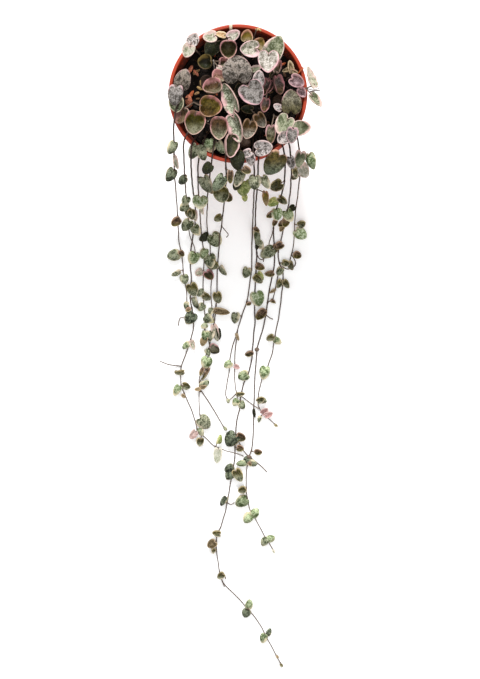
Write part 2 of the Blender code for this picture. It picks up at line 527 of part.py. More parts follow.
def leaf_frame(heading, pitch, roll):
    """Columns: the leaf's right-hand side, its tip's direction and its upper face's normal."""
    heading, pitch, roll = (math.radians(angle) for angle in (heading, pitch, roll))
    tip = Vector((math.sin(heading) * math.cos(pitch), math.cos(heading) * math.cos(pitch),
                  math.sin(pitch)))
    level = Vector((math.cos(heading), -math.sin(heading), 0))
    normal = level.cross(tip)
    right = level * math.cos(roll) - normal * math.sin(roll)
    return Matrix((right, tip, level * math.sin(roll) + normal * math.cos(roll))).transposed()


def leaf_mesh(centre, length, width, frame):
    """A heart-shaped leaf with its middle at centre: thick along the midrib, thin at the margin."""
    outline = HEART + [(-across, along) for across, along in HEART[-2:0:-1]]
    bm = bmesh.new()
    margin = [bm.verts.new((centre + frame @ Vector((across * width, (along - 0.5) * length, 0))) * MM)
              for across, along in outline]
    for height in (LEAF_ABOVE, -LEAF_BELOW):
        hub = bm.verts.new((centre + frame @ Vector((0, -LEAF_MIDDLE * length, height))) * MM)
        for first, second in zip(margin, margin[1:] + margin[:1]):
            bm.faces.new((first, second, hub))
    return mesh_from(bm, "leaf")


def lift_off_surface(centre, length, width, frame):
    """The leaf's middle, raised where needed so that no corner is lower than GAP."""
    corners = [Vector((side * across * width, (along - 0.5) * length, 0))
               for across, along in HEART for side in (1, -1)]
    lowest = min((frame @ corner).z for corner in [*corners, Vector((0, 0, -LEAF_BELOW))])
    return Vector((centre.x, centre.y, max(centre.z, GAP - lowest)))


def nearest_beside(route, x, y):
    """The point of a route that is nearest as seen from above."""
    return min(route, key=lambda point: math.hypot(point.x - x, point.y - y))


def joined(name, body, parts, material_name):
    """One closed body: the stem with its petioles and leaves grown onto it."""
    obj = add_object(name, body, material_name)
    helpers = bpy.data.collections.new(f"{name}_parts")
    bpy.context.scene.collection.children.link(helpers)
    helpers.hide_render = True
    for number, mesh in enumerate(parts, 1):
        part = bpy.data.objects.new(f"{name}_part_{number}", mesh)
        helpers.objects.link(part)
        hide_helper(part)
    union = obj.modifiers.new("grown_together", "BOOLEAN")
    union.operation = "UNION"
    union.operand_type = "COLLECTION"
    union.collection = helpers
    return obj


def petiole_mesh(start, leaf_centre, length, frame):
    """A three-sided leaf stalk from the stem into the leaf, past its notch."""
    end = leaf_centre + frame @ Vector((0, -PETIOLE_REACH * length, -PETIOLE_UNDER))
    along = end - start
    turn = along.to_track_quat("Z", "Y").to_matrix().to_4x4()
    bm = bmesh.new()
    bmesh.ops.create_cone(bm, cap_ends=True, segments=3, radius1=PETIOLE_RADIUS * MM,
                          radius2=PETIOLE_RADIUS * MM, depth=along.length * MM,
                          matrix=Matrix.Translation((start + end) / 2 * MM) @ turn)
    return mesh_from(bm, "petiole")


def arch_height(y, rim, landing):
    """How high a vine is at y, on its way from the pot's rim down to the surface."""
    share = min(max((rim - y) / (rim - landing), 0), 1)
    return STEM_LIES + (OVER_RIM - STEM_LIES) * (1 + math.cos(math.pi * share)) / 2


def with_heights(points, vine):
    """Gives each point without a height the one that it has on the arch or on the surface."""
    return [p if len(p) == 3 else (*p, arch_height(p[1], vine["rim"], vine["landing"]))
            for p in points]


def build_vine(name, vine):
    points = with_heights(vine["route"], vine)
    main = smooth_route(points, STEM_STEP)
    stem_points = list(main)
    route = smooth_route(points, PLACING_STEP)
    parts = []
    for branch in vine.get("branches", []):
        start, *others = with_heights(branch, vine)
        branch_points = [nearest_beside(main, start[0], start[1]), *others]
        branch_stem = smooth_route(branch_points, STEM_STEP)
        parts.append(tube_mesh(branch_stem, BRANCH_RADIUS, TIP_RADIUS))
        stem_points += branch_stem
        route += smooth_route(branch_points, PLACING_STEP)
    for x, y in vine.get("knots", []):
        bm = bmesh.new()
        place = Matrix.Translation((nearest_beside(main, x, y) + Vector((0, 0, KNOT_LIFT))) * MM)
        bmesh.ops.create_icosphere(bm, subdivisions=1, radius=KNOT_RADIUS * MM, matrix=place)
        parts.append(mesh_from(bm, "knot"))
    for x, y, length, width, heading, pitch, roll in vine["leaves"]:
        frame = leaf_frame(heading, pitch, roll)
        notch = Vector((x, y, 0)) - frame.col[1] * length / 2
        beside = nearest_beside(route, notch.x, notch.y)
        centre = lift_off_surface(Vector((x, y, beside.z + LEAF_OVER_STEM)), length, width, frame)
        start = min(stem_points, key=lambda point: (point - beside).length)
        parts.append(leaf_mesh(centre, length, width, frame))
        parts.append(petiole_mesh(start, centre, length, frame))
    joined(name, tube_mesh(main, STEM_RADIUS, TIP_RADIUS), parts, "vine")


def build_sprig(name, sprig):
    foot_x, foot_y = sprig["foot"]
    foot = Vector((foot_x, foot_y, soil_height(foot_x, foot_y) + FOOT_CLEARANCE))
    node = Vector(sprig["node"])
    bend = Vector((foot.x * 0.7 + node.x * 0.3, foot.y * 0.7 + node.y * 0.3,
                   foot.z * 0.4 + node.z * 0.6))
    parts = []
    if "twig" in sprig:
        twig = [node, *(Vector(place) for place in sprig["twig"])]
        parts.append(tube_mesh(twig, TIP_RADIUS, TIP_RADIUS))
    for x, y, z, length, width, heading, pitch, roll in sprig["leaves"]:
        frame = leaf_frame(heading, pitch, roll)
        centre = Vector((x, y, z))
        parts.append(leaf_mesh(centre, length, width, frame))
        parts.append(petiole_mesh(node, centre, length, frame))
    joined(name, tube_mesh([foot, bend, node], STEM_RADIUS, STEM_RADIUS), parts, "crown_leaf")


def main():
    clear_scene()
    build_pot()
    soil = build_soil()
    build_corms(soil)
    for name, vine in VINES.items():
        build_vine(name, vine)
    for name, sprig in SPRIGS.items():
        build_sprig(name, sprig)


main()
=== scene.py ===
"""Looks of the potted, variegated string of hearts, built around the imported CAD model.

Tables and dimensions are in millimetres, in the CAD model's frame: +Z is up, +Y is the back, and
the pot stands on Z = 0 with the middle of its base at the origin. Meshes are in metres.
The camera looks straight down, so that up in the picture is +Y.
"""

import math
import random

import bmesh
import bpy
import numpy as np
from mathutils import Matrix, Vector, noise


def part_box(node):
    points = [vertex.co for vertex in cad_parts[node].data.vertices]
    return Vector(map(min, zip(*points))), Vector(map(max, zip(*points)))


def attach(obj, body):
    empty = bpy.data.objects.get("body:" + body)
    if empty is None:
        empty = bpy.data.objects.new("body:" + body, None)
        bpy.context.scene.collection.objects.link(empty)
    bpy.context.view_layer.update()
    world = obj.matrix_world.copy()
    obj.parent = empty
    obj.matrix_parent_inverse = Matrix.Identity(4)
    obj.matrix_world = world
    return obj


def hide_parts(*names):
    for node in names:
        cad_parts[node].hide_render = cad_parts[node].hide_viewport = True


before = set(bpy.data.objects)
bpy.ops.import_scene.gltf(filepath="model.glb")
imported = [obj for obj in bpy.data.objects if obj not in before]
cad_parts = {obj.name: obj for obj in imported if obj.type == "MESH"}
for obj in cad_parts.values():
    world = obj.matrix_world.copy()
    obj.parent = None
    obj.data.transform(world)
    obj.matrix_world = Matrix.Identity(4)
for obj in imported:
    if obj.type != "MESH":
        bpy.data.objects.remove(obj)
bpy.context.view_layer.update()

MM = 0.001

# Camera: its place, and the length that its picture covers at the surface that the pot stands on.
CAMERA_X = 1.5
CAMERA_Y = -185.7
CAMERA_HEIGHT = 1600.0
PICTURE_LENGTH = 543.2
CAMERA_REACH = 20000.0
SENSOR = 36.0

# Pot. Points of its wall are (radius, height): the groove's from the edge of the base inwards, and
# the collar's from the top of the wall below it.
POT_HEIGHT = 90.0
RIM_RADIUS = 52.5
BASE_RADIUS = 38.0
WALL = 1.2
WALL_END = -0.8
FLOOR_THICKNESS = 1.6
FLOOR_ROUND = 1.4
FOOT_ROUND = 1.4
FOOT_GROOVE = [(9, 0), (8, 0.5), (4, 0.5), (3, 0)]
LIP_WIDTH = 2.7
LIP_DEPTH = 2.4
LIP_OVERHANG = 0.8
LIP_ROUND = 0.75
LIP_CORNER = 0.5
COLLAR_HEIGHT = 11.0
COLLAR_STEP = 1.4
COLLAR_CORNER = 0.4
COLLAR_OUTSIDE = [(0.1, -0.55), (1.05, -0.35)]
COLLAR_INSIDE = [(0.3, 1.5), (-0.9, 0.2)]
POT_SEGMENTS = 192
DRAIN_HOLES = 8
DRAIN_RADIUS = 3.0
DRAIN_CIRCLE = 28.0
DRAIN_SIDES = 40

# Soil. Its foot's width is the pot's at a height of SOIL_FOOT. Crumbs are layers of noise: (height,
# place in the noise, fineness).
SOIL_TOP = 76.0
SOIL_MOUND = 3.0
SOIL_ROUGHNESS = 0.7
SOIL_SINK = 1.6
SOIL_CLEAR = 0.4
SOIL_FOOT = 2.0
SOIL_BEVEL = 3.0
SOIL_EDGE = 0.3
SOIL_RINGS = 72
SOIL_SEGMENTS = 200
CRUMBS = [(0.8, 0, 0.22), (0.55, 5, 0.6), (0.35, 9, 1.3)]

# Stems, stalks and tubers. A stem that runs lower than SETTLES_BELOW sinks by up to STEM_SETTLES,
# in full from SETTLES_OVER below it. SPRIG_BEND is where a sprig bends, as shares of its way in x,
# y and z. KNOT_SIZES are half a tuber's length, width and height. A tube's first side is square to
# TUBE_START, a direction that no stem starts in.
STEM_RADIUS = 0.68
BRANCH_RADIUS = 0.5
TIP_RADIUS = 0.36
PETIOLE_RADIUS = 0.42
CROWN_PETIOLE_RADIUS = 0.525
SPRIG_TAPER = 0.8
TWIG_TAPER = 0.7
STEM_STEP = 1.6
STALK_STEP = 0.9
ROUTE_STEPS = 10
STEM_SIDES = 8
STALK_SIDES = 6
TURN_MM = 3
OVER_RIM = 92.6
STEM_LIES = 1.0
STEM_SETTLES = 0.35
SETTLES_BELOW = 2.4
SETTLES_OVER = 1.2
SURFACE_GAP = 0.12
ROOT_DEPTH = 5.0
SPRIG_BEND = (0.3, 0.3, 0.6)
WIGGLES = (0.09, 0.09, 0.045)
WIGGLE_WAVES = (2.2, 4.1, 7.5)
WIGGLE_EASE = 12
NODE_SWELLING = 0.45
NODE_LENGTH = 1.1
MOST_SWOLLEN = 1.02
STALK_UNDER = 0.5
STALK_RISE = (0.1, 0.5)
CROWN_STALK_RISE = (-0.6, 0.8)
TWIG_LIFT = 0.3
KNOT_SIZES = (1.87, 1.564, 1.445)
KNOT_LIFT = 0.9
TUBE_START = (0.31, 0.53, 0.79)

# Lumps: how often their ball is divided, how rough they are, and how fine their roughness is.
KNOT_SURFACE = (3, 0.35, 1.6)
CORM_SURFACE = (5, 0.12, 1.1)
BIT_SURFACE = (2, 0.45, 1.3)
PERLITE_SURFACE = (2, 0.6, 1.3)
LUMP_SHIFT = 7.3

# Ranges of random numbers: the phase of a wave, a turn in radians, and what tells skins apart.
ANY_PHASE = (0, 6)
ANY_TURN = (0, 6.3)
STEM_SEEDS = (0, 50)
LEAF_SEEDS = (0, 90)

# How old a stem looks, from its foot to its tip: 0 is old and brown, 1 or more is young and grey.
STEM_AGES = (0.0, 0.8)
BRANCH_AGES = (0.5, 0.9)
TWIG_AGES = (0.5, 1.0)
STALK_AGES = (0.7, 1.1)
SPRIG_AGES = (0.1, 0.7)
CROWN_TWIG_AGES = (0.2, 0.6)
CROWN_STALK_AGES = (0.7, 1.2)
KNOT_AGE = 1.2

# Corms: x, y, radius. Their shape and their rise over the soil are shares of the radius.
CORMS = [(-24, 10, 6.0), (31, -4, 5.0), (6, -36, 4.5)]
CORM_SHAPE = (0.99, 0.95, 0.82)
CORM_RISE = 0.1

# Half a leaf's outline as shares (across, along): notch, lobe, side, shoulder, tip.
HEART = [(0, 0.05), (0.18, -0.12), (0.41, -0.03), (0.5, 0.26), (0.44, 0.6), (0.25, 0.87), (0, 1.0)]
# The same for a deeply cupped leaf, whose lobes close over the notch.
BOWL = [(0, -0.09), (0.2, -0.1), (0.41, 0.02), (0.5, 0.3), (0.44, 0.62), (0.25, 0.88), (0, 1.0)]
BOWL_CUP = 0.3
TIP_POINT = 0.35

# A leaf's bends and colours. RIPPLES are how many waves run round the margin. A cup of LIP_CUP or
# more has a full lip. The margin has RIM_LEAST of its look's width, and RIM_BLUSH more on the side
# that it blushes towards. The far look, painted light and shade, comes in over FAR_SPAN of the
# leaf's length on the other side, and the painted light on a leaf that bends down changes over
# SUN_SPAN of it.
LEAF_MIDDLE = 0.38
LEAF_OVER_STEM = 1.5
LEAF_UNEVEN = 0.05
CUP_POWER = 2.2
CUP_PULL = 0.35
RIB_ROUND = 0.6
RIPPLES = (2, 3, 5, 7)
LIP_POWER = 10
LIP_CUP = 0.4
MARGIN_POWER = 12
RIM_LEAST = 0.22
RIM_BLUSH = 1.15
FAR_START = 0.22
FAR_SPAN = 0.4
SUN_SPAN = 0.4
LIGHT_THROUGH = 0.3

# Leaf meshes: rings as shares of the way from the middle to the margin, the blade's thickness, the
# ripples' height as a share of the width, the height of a cupped leaf's upturned margin, the range
# of one leaf's brightness, and how much painted light brightens a bent-down leaf towards +Y.
CROWN_LEAF = {"segments": 56,
              "rings": (0, 0.16, 0.34, 0.52, 0.68, 0.8, 0.88, 0.94, 0.975, 0.993, 1),
              "thickness": 1.2, "ripple": 0.03, "lip": 0.7, "shades": (0.86, 1.12), "sun": 0.14}
VINE_LEAF = {"segments": 36, "rings": (0, 0.28, 0.54, 0.76, 0.9, 0.97, 1),
             "thickness": 0.9, "ripple": 0.03, "lip": 0.4, "shades": (0.7, 1.14), "sun": 0.34}
# A vine leaf's cup and fold are those of its look in VINE_FORMS, each times a number from its
# range here, and its curl is a number from its range.
CUP_RANGE = (0.6, 1.3)
FOLD_RANGE = (0.4, 1.6)
CURL_RANGE = (0, 0.12)
VINE_FORMS = {"green": (-0.26, 0.08), "sage": (-0.22, 0.12), "moss": (0.26, 0.12),
              "cream": (0.12, 0.08), "brown": (0.3, 0.1), "dark": (-0.2, 0.1),
              "backlit": (-0.16, 0.1), "tan": (0.26, 0.1), "glow": (0.2, 0.12),
              "lime": (-0.26, 0.04), "pink": (0.2, 0.2), "ghost": (0.1, 0.1), "deep": (-0.26, 0.1),
              "marble": (-0.16, 0.1), "leafy": (-0.3, 0.0), "ash": (-0.1, 0.1),
              "shaded": (0.1, 0.16), "dusty": (0.1, 0.2), "hollow": (0.2, 0.2),
              "fresh": (-0.3, 0.0), "frost": (0.1, 0.1)}

# Bits strewn over the soil. A bark chip's width and thickness are shares of its length. Perlite
# and scraps are (count, sizes, height over the soil, shape, most tilt, tone, surface).
BITS_REACH = 45.0
BARK_CHIPS = 130
BARK_LENGTHS = (1.4, 4.6)
BARK_WIDTHS = (0.2, 0.42)
BARK_THICKNESSES = (0.1, 0.22)
BARK_LIFT = 0.5
BARK_TILT = 0.6
STREWN_BITS = [(12, (0.4, 1.0), 0.4, (1, 0.9, 0.7), 3, "perlite", PERLITE_SURFACE),
               (9, (0.6, 1.6), 0.6, (1, 0.6, 0.25), 0.8, "scrap", BIT_SURFACE)]
FIBRES = 60
FIBRE_REACH = 0.92
FIBRE_LENGTHS = (3, 9)
FIBRE_RADII = (0.1, 0.24)
FIBRE_STRAY = (-0.8, 0.8)
FIBRE_LIFTS = (0.2, 1.6)
STRAND_STEP = 0.8
STRAND_SIDES = 6
STRAND_TAPER = 0.4

# Studio. Lamps are (name, place, target, side, power).
FLOOR_SIDE = 8000.0
WORLD_LIGHT = 0.6
FLOOR_GLOW = 0.2
LAMPS = [("key", (-160, 1150, 950), (0, -60, 40), 320, 30),
         ("top", (300, -600, 1400), (0, -260, 0), 1000, 10)]

# Vines. "route" runs from the soil to the tip: (x, y, z) up to the rim and wherever the height
# is given, and (x, y) where it follows from the arch: the stem leaves the rim at y = "rim",
# lands at y = "landing", and lies on the surface from there.
# "branches" are side stems, (x, y) or (x, y, z). "twigs" are bare or curled side stalks, (x, y)
# from the stem outwards. "knots" are the small aerial tubers at a node.
# "leaves" are (x, y, length, width, heading, pitch, roll, look): the leaf's middle, its size, its
# pose in degrees and its look. Heading is where the tip points, clockwise from +Y as seen from
# above. Pitch lifts the tip, and roll lowers the right-hand side.
VINES = {
    "vine_01": {
        "rim": -22, "landing": -104,
        "route": [(-38, -2, 77.8), (-43.4, -6, 89), (-47, -14, 92.8), (-48.4, -25), (-48.6, -36),
            (-48.9, -49), (-49, -62), (-48.4, -76), (-48.2, -87), (-47.9, -98), (-47.3, -107),
            (-45, -118), (-44, -131), (-42.5, -141), (-41.4, -147), (-41, -154)],
        "leaves": [(-49.9, -41.5, 11, 8.5, 204, -6, -18, "green"),
            (-46.4, -51, 11, 7, 170, -10, 58, "cream"),
            (-51.4, -59.5, 11.5, 9.5, 207, 12, -20, "deep"),
            (-48.8, -93, 9.5, 8.5, 232, -12, 16, "brown"),
            (-52.1, -118, 10.5, 10.5, 252, 10, 12, "green"),
            (-49.2, -134, 8.5, 6.5, 238, 10, -52, "sage"), (-43, -137.6, 8, 8, 168, 12, 6, "green"),
            (-41.6, -158.6, 6, 5, 186, 8, 14, "green"),
            (-44.4, -117.4, 6, 5, 140, 10, 10, "brown")],
    },
    "vine_02": {
        "rim": -35, "landing": -105,
        "route": [(-30, -18, 77.8), (-35, -26, 89), (-40.4, -35, 92.8), (-41, -48), (-40.8, -64),
            (-40.4, -77), (-39.6, -90), (-39.1, -99, 6.4), (-37.4, -106, 4.4), (-34.6, -113, 2.8),
            (-34.6, -118, 2.6)],
        "leaves": [(-44.2, -63, 9, 8.5, 240, -24, 26, "deep"),
            (-42.4, -82, 8.5, 8, 222, 14, -20, "green"),
            (-38.4, -86.4, 8.4, 6.6, 170, -8, 14, "moss"),
            (-41.4, -94.6, 11, 10, 216, 10, 10, "green"),
            (-36, -120.8, 11, 10.5, 200, 9, 4, "leafy"),
            (-41.6, -78, 8, 7.6, 205, -10, 10, "green"), (-35.8, -87.4, 9, 8, 170, -8, 12, "moss"),
            (-33.6, -88.4, 9, 5, 176, -10, 30, "cream")],
    },
    "vine_03": {
        "rim": -40, "landing": -103,
        "route": [(-26, -22, 77.8), (-31, -31, 89.5), (-34.8, -40, 97.4), (-35.4, -48, 97),
            (-35.5, -54, 85), (-35.3, -66), (-33.8, -80), (-34.3, -93), (-36.2, -104),
            (-37.6, -113), (-38.2, -126), (-37.4, -138), (-38.2, -152), (-36.6, -163),
            (-35.6, -173), (-36.9, -182), (-40.9, -195), (-45.4, -207), (-45.9, -219),
            (-44.2, -226), (-38.5, -239), (-34.5, -250), (-32.4, -259), (-26.5, -264),
            (-19.3, -270.5), (-10.5, -274.4, 2), (-5, -275.8, 3), (1, -277.6, 1.8),
            (4.4, -279.2, 1.4)],
        "branches": [[(-45.4, -207), (-54.5, -206, 2), (-62.5, -203, 3)]],
        "twigs": [[(-36.4, -166), (-42, -167.6), (-46.6, -168.8), (-47.8, -174.6)]],
        "leaves": [(-33.4, -98.8, 9.5, 8.6, 150, 8, 10, "green"),
            (-35.6, -146.6, 11, 10, 158, 8, 8, "moss"), (-34.6, -157, 10, 7, 164, 6, 46, "sage"),
            (-38.8, -168.6, 11, 11, 214, 9, 6, "deep"),
            (-42, -190.4, 7.4, 5.6, 228, 10, 12, "leafy"),
            (-36, -190.4, 8, 4.8, 160, 10, 14, "cream"),
            (-47.4, -211.6, 8, 5.4, 262, 6, -38, "moss"),
            (-49.4, -226.4, 9.6, 6.8, 206, 10, 12, "leafy"),
            (-40.6, -222.6, 7, 7, 108, 12, 28, "moss"),
            (-36.4, -262, 8, 6.4, 216, 12, -20, "dusty"), (-29.8, -268.4, 7, 7, 188, 9, 18, "moss"),
            (-13.6, -265.6, 8, 6.5, 18, 10, 54, "lime"),
            (-16.2, -279, 12, 7.8, 186, 8, 20, "ghost"),
            (-40.2, -162.4, 4.6, 4, 235, 14, 10, "brown"),
            (-46.4, -212, 8, 3.4, 98, 10, 30, "moss"), (-43.2, -231, 4, 3, 130, 12, 10, "tan"),
            (-30, -259.8, 7.4, 5.6, 150, 12, 14, "green")],
    },
    "vine_04": {
        "rim": -45, "landing": -106,
        "route": [(-21, -24, 77.8), (-25, -34, 90), (-28.8, -45, 92), (-30.4, -58), (-30.6, -72),
            (-30.2, -83), (-29.8, -94), (-29, -104), (-27.7, -115), (-27.4, -128), (-28, -140),
            (-27.6, -152), (-26.8, -165), (-26.6, -178)],
        "leaves": [(-33.6, -44.4, 12.4, 9.4, 204, 4, 0, "sage"),
            (-27.4, -45.6, 12.4, 9, 158, 4, 8, "sage"),
            (-23.8, -68.6, 14.4, 10.4, 156, -10, 10, "sage"),
            (-29.4, -79.2, 11, 13.4, 186, 10, 0, "fresh"),
            (-27.7, -117.2, 9, 7.4, 200, 10, 10, "leafy"),
            (-31.4, -132.8, 7, 7, 236, 10, 10, "cream"),
            (-30.2, -148.4, 7.2, 7.2, 240, 10, 14, "green"),
            (-24.6, -151.8, 7, 7, 128, -8, 24, "moss"), (-29.8, -160, 7, 7, 222, 10, 10, "green"),
            (-23.6, -169.6, 8, 8, 124, 10, 8, "green"),
            (-26.4, -182.6, 8.5, 8, 182, 11, 8, "leafy"),
            (-28.2, -84.2, 9.5, 4.4, 172, -12, 40, "cream"),
            (-27.4, -174.6, 6, 5, 250, 10, 12, "green"), (-27.2, -188, 8, 7, 205, 12, 30, "tan")],
    },
    "vine_05": {
        "rim": -49, "landing": -101,
        "route": [(-15, -22, 77.8), (-17.5, -34, 90.5), (-19.4, -49, 92.8), (-21.6, -61),
            (-23.2, -71), (-24.2, -82), (-24.9, -92), (-24.2, -101), (-22.4, -112), (-22, -122),
            (-20.8, -132), (-21.8, -146), (-21.6, -153), (-21, -159)],
        "leaves": [(-20.6, -38.8, 11.4, 12.6, 172, 8, -8, "leafy"),
            (-13.6, -41.4, 10.5, 8, 158, 10, 40, "green"),
            (-24.3, -57.4, 10, 9.4, 224, -24, 12, "dark"),
            (-18, -106.2, 12.5, 13, 148, 9, -6, "green"), (-18.8, -126, 9, 9, 108, 10, 14, "moss"),
            (-22.6, -134.2, 9, 8.4, 140, -9, 10, "hollow"),
            (-21.8, -163.4, 5.5, 5, 190, 10, 10, "green"),
            (-20.4, -71.8, 4.4, 3.4, 150, -10, 20, "tan"),
            (-27.2, -104.6, 9, 7.4, 238, 6, -20, "dark"),
            (-22.8, -123.6, 12, 10.5, 176, 8, 16, "green")],
    },
    "vine_06": {
        "rim": -51, "landing": -107,
        "route": [(-6, -30, 77.8), (-8.6, -41, 91), (-9.4, -51, 93), (-8.9, -62), (-10.5, -77),
            (-11.8, -86), (-13.1, -95), (-14.4, -101, 7), (-15, -110, 5), (-15.8, -119, 1.6),
            (-16.4, -127), (-16.8, -138), (-17, -148), (-17.6, -159), (-18.4, -167), (-19.4, -174),
            (-22.2, -187), (-24.6, -203), (-26.6, -213), (-30.3, -219), (-30.9, -225),
            (-31.3, -234), (-30.6, -246)],
        "branches": [[(-30.9, -225), (-28, -229), (-19.5, -242), (-11.6, -255.5)]],
        "twigs": [[(-13.1, -96), (-10, -99.4), (-7.8, -102.4), (-9.4, -104.6)], [(-17.6, -159),
            (-20, -168), (-19.2, -176), (-23.4, -184), (-22.8, -193), (-26.6, -200), (-28.6, -209),
            (-31.2, -218), (-30.2, -228)]],
        "leaves": [(-14.6, -67.6, 14.5, 10, 214, 8, -10, "deep"),
            (-7.6, -76, 8.6, 8, 132, -20, 16, "brown"), (-16.8, -90, 7, 7, 240, 16, -26, "moss"),
            (-12.4, -131.4, 9, 7, 148, 8, 48, "sage"), (-16, -152.6, 9.5, 8, 168, -8, 10, "moss"),
            (-12.2, -164, 13.5, 6.4, 98, 6, -18, "tan"),
            (-17.6, -181, 13.6, 6.8, 166, 8, 24, "cream"),
            (-18.6, -194, 9, 8.6, 122, -8, 12, "ash"), (-25.4, -204.4, 10, 10, 196, 9, -4, "leafy"),
            (-26.2, -221.4, 8.5, 6.6, 62, 10, 26, "green"),
            (-27, -252.6, 11.5, 12, 134, 9, 4, "sage"),
            (-10, -257.2, 3.4, 2.8, 130, 8, 10, "green"),
            (-12, -74.6, 13.4, 13.8, 168, -16, 8, "moss"),
            (-5, -63.2, 11, 6, 182, -20, 30, "brown"), (-22.6, -170.4, 6, 5, 262, 12, 10, "lime"),
            (-15, -181.6, 9.5, 5.4, 172, 12, -46, "dark"), (-22.4, -183, 9, 7, 196, 14, 30, "sage"),
            (-24.4, -196.4, 6.4, 4.6, 150, 12, 20, "green"),
            (-28.8, -212.4, 7.4, 4, 205, 12, 30, "brown"),
            (-25.8, -214.2, 12, 4, 210, 12, 46, "brown"),
            (-27.4, -223.4, 5.4, 3.6, 72, 12, 10, "tan"),
            (-32.8, -225.6, 5, 3.2, 262, 12, 10, "tan")],
    },
    "vine_07": {
        "rim": -50, "landing": -108,
        "route": [(11, -28, 77.8), (11.4, -40, 90.5), (11.8, -50, 92.8), (12.4, -62), (12.2, -75),
            (11.8, -86), (11.4, -98), (11.1, -107), (11, -116), (10.9, -126), (10, -136),
            (8.6, -146), (7.8, -152), (5, -161), (2.3, -169), (-0.4, -178), (-4.9, -193),
            (-6.5, -201), (-7.3, -212), (-10, -228), (-8.4, -234)],
        "branches": [[(-0.4, -178), (-1.2, -186), (-2.6, -197), (-2.8, -207), (-2.8, -216),
            (-2, -225), (-0.6, -230)]],
        "twigs": [[(-1.4, -228), (-3.6, -231), (-6.4, -233.6), (-8, -234)]],
        "leaves": [(12.6, -67.4, 11.4, 10.4, 182, -8, 6, "sage"),
            (6.8, -132.6, 9, 8, 196, 8, -16, "green"), (-2.6, -168.6, 9, 7.6, 186, 10, 10, "green"),
            (-8.6, -205.4, 7.4, 7, 236, 10, 14, "leafy"),
            (-0.4, -207.4, 5, 4.4, 118, 11, 22, "pink"), (-7.9, -235, 3.4, 3, 162, 11, 10, "green"),
            (-0.2, -184, 6.4, 2.8, 160, 10, 30, "tan"), (8, -157.4, 4.4, 3.2, 250, 12, 10, "brown"),
            (2.4, -229, 7.4, 4, 84, 10, 20, "moss"), (-2.4, -236, 6.4, 6, 214, 9, 10, "leafy")],
    },
    "vine_08": {
        "rim": -50, "landing": -106,
        "route": [(17, -30, 77.8), (16, -41, 90), (15.4, -50, 93), (15, -62), (14.2, -75),
            (13.7, -86), (13.6, -98), (14.3, -108), (14.9, -120), (14.2, -131), (13.4, -147),
            (13.2, -161), (13.4, -172), (12.4, -182), (11.5, -193), (10.9, -202), (8.8, -211),
            (4.1, -222), (2.2, -231), (0.9, -242), (-1.2, -252), (-1.9, -261), (-2.6, -270),
            (-2.5, -277), (-3.3, -285), (-4.4, -290), (-5.7, -299), (-7.7, -310), (-8.9, -316),
            (-10.5, -324), (-13.7, -335), (-16.4, -340.5), (-17.4, -347), (-17, -356), (-15, -371),
            (-12.4, -379), (-8.9, -383.5), (-0.1, -392.4), (5.8, -399), (12, -406), (18.4, -415),
            (21.4, -421), (25, -428), (29, -435.5), (31.6, -440.5), (34, -444.5)],
        "twigs": [[(15.3, -117.4), (16.6, -120.6), (19, -122), (20.6, -120.4), (20.2, -123.6)],
            [(2.4, -230.4), (7, -234.4), (11.9, -238), (17, -241.4)], [(-8.9, -315.6),
            (-6.4, -317.4), (-4.4, -317.2), (-3, -315.8)], [(-14.9, -371.8), (-12.6, -371.6),
            (-10.8, -374), (-9.8, -377.2)], [(-13.4, -376.4), (-12.4, -379.8), (-10.9, -383.4)]],
        "leaves": [(20.8, -67, 11.6, 7.6, 150, 8, 14, "sage"),
            (17.6, -110.6, 8, 7, 150, -8, 12, "sage"), (18.6, -127, 8, 7, 112, 8, 28, "brown"),
            (17.4, -135.6, 8, 6.6, 144, 10, 14, "lime"),
            (15.4, -153.6, 12.4, 12.4, 168, 8, 4, "fresh"),
            (7.8, -196, 7.5, 6, 254, 8, -44, "brown"), (3.8, -214.6, 9, 9, 250, 9, 8, "leafy"),
            (2.8, -238.6, 6.8, 6.6, 150, 10, 12, "green"),
            (-5.8, -265.6, 13, 13.6, 214, 7, 6, "deep"),
            (2.6, -263.6, 8.4, 8, 116, -8, 12, "brown"), (2.4, -272.6, 6, 6, 106, 10, 14, "brown"),
            (-7.6, -288.6, 8, 7.4, 240, 10, 12, "deep"), (-7, -294, 8.8, 8.6, 216, 9, 8, "deep"),
            (0.4, -295, 11, 8.6, 150, 9, -8, "moss"), (-12, -315, 8.6, 5.4, 214, 10, 22, "deep"),
            (-17.8, -340.8, 7, 5.6, 284, 9, 16, "moss"), (-21.6, -349.8, 8, 8, 236, 11, 8, "tan"),
            (-14.2, -375, 6.6, 6, 236, 10, 8, "moss"), (9, -397.2, 8.2, 6.8, 12, 10, 8, "leafy"),
            (6.4, -404.8, 6.8, 7.8, 196, 10, -8, "deep"),
            (20, -424.6, 8, 6.8, 198, 10, 12, "leafy"), (24.8, -419.4, 6.6, 4.4, 24, 10, 8, "deep"),
            (34.9, -446.2, 3, 2.4, 146, 8, 12, "moss"), (22, -77.6, 12.5, 6, 176, -22, 30, "glow"),
            (15.8, -104.6, 11.5, 7, 172, 6, -34, "green"),
            (15.4, -98.4, 6, 4, 130, 10, 20, "brown"), (17, -137.6, 9.4, 7, 130, 10, 20, "moss"),
            (15, -112, 4.6, 3.4, 190, 6, 10, "dark"), (-19.6, -355, 4.6, 3.8, 200, 10, 12, "moss"),
            (31.6, -439.4, 2.8, 2, 150, 10, 10, "tan")],
    },
    "vine_09": {
        "rim": -41, "landing": -106,
        "route": [(24, -24, 77.8), (29.5, -31, 89.5), (34, -41, 93.4), (35.6, -53), (35.6, -64),
            (34, -72), (31.4, -79), (29.4, -88), (28.1, -97), (28.6, -107), (29.4, -117),
            (28.8, -127), (27.2, -135), (25.2, -145), (23.7, -155), (22.4, -165), (20.4, -175),
            (17.6, -184), (15.4, -192), (14.8, -199), (13.8, -211), (12.9, -227), (12.4, -243),
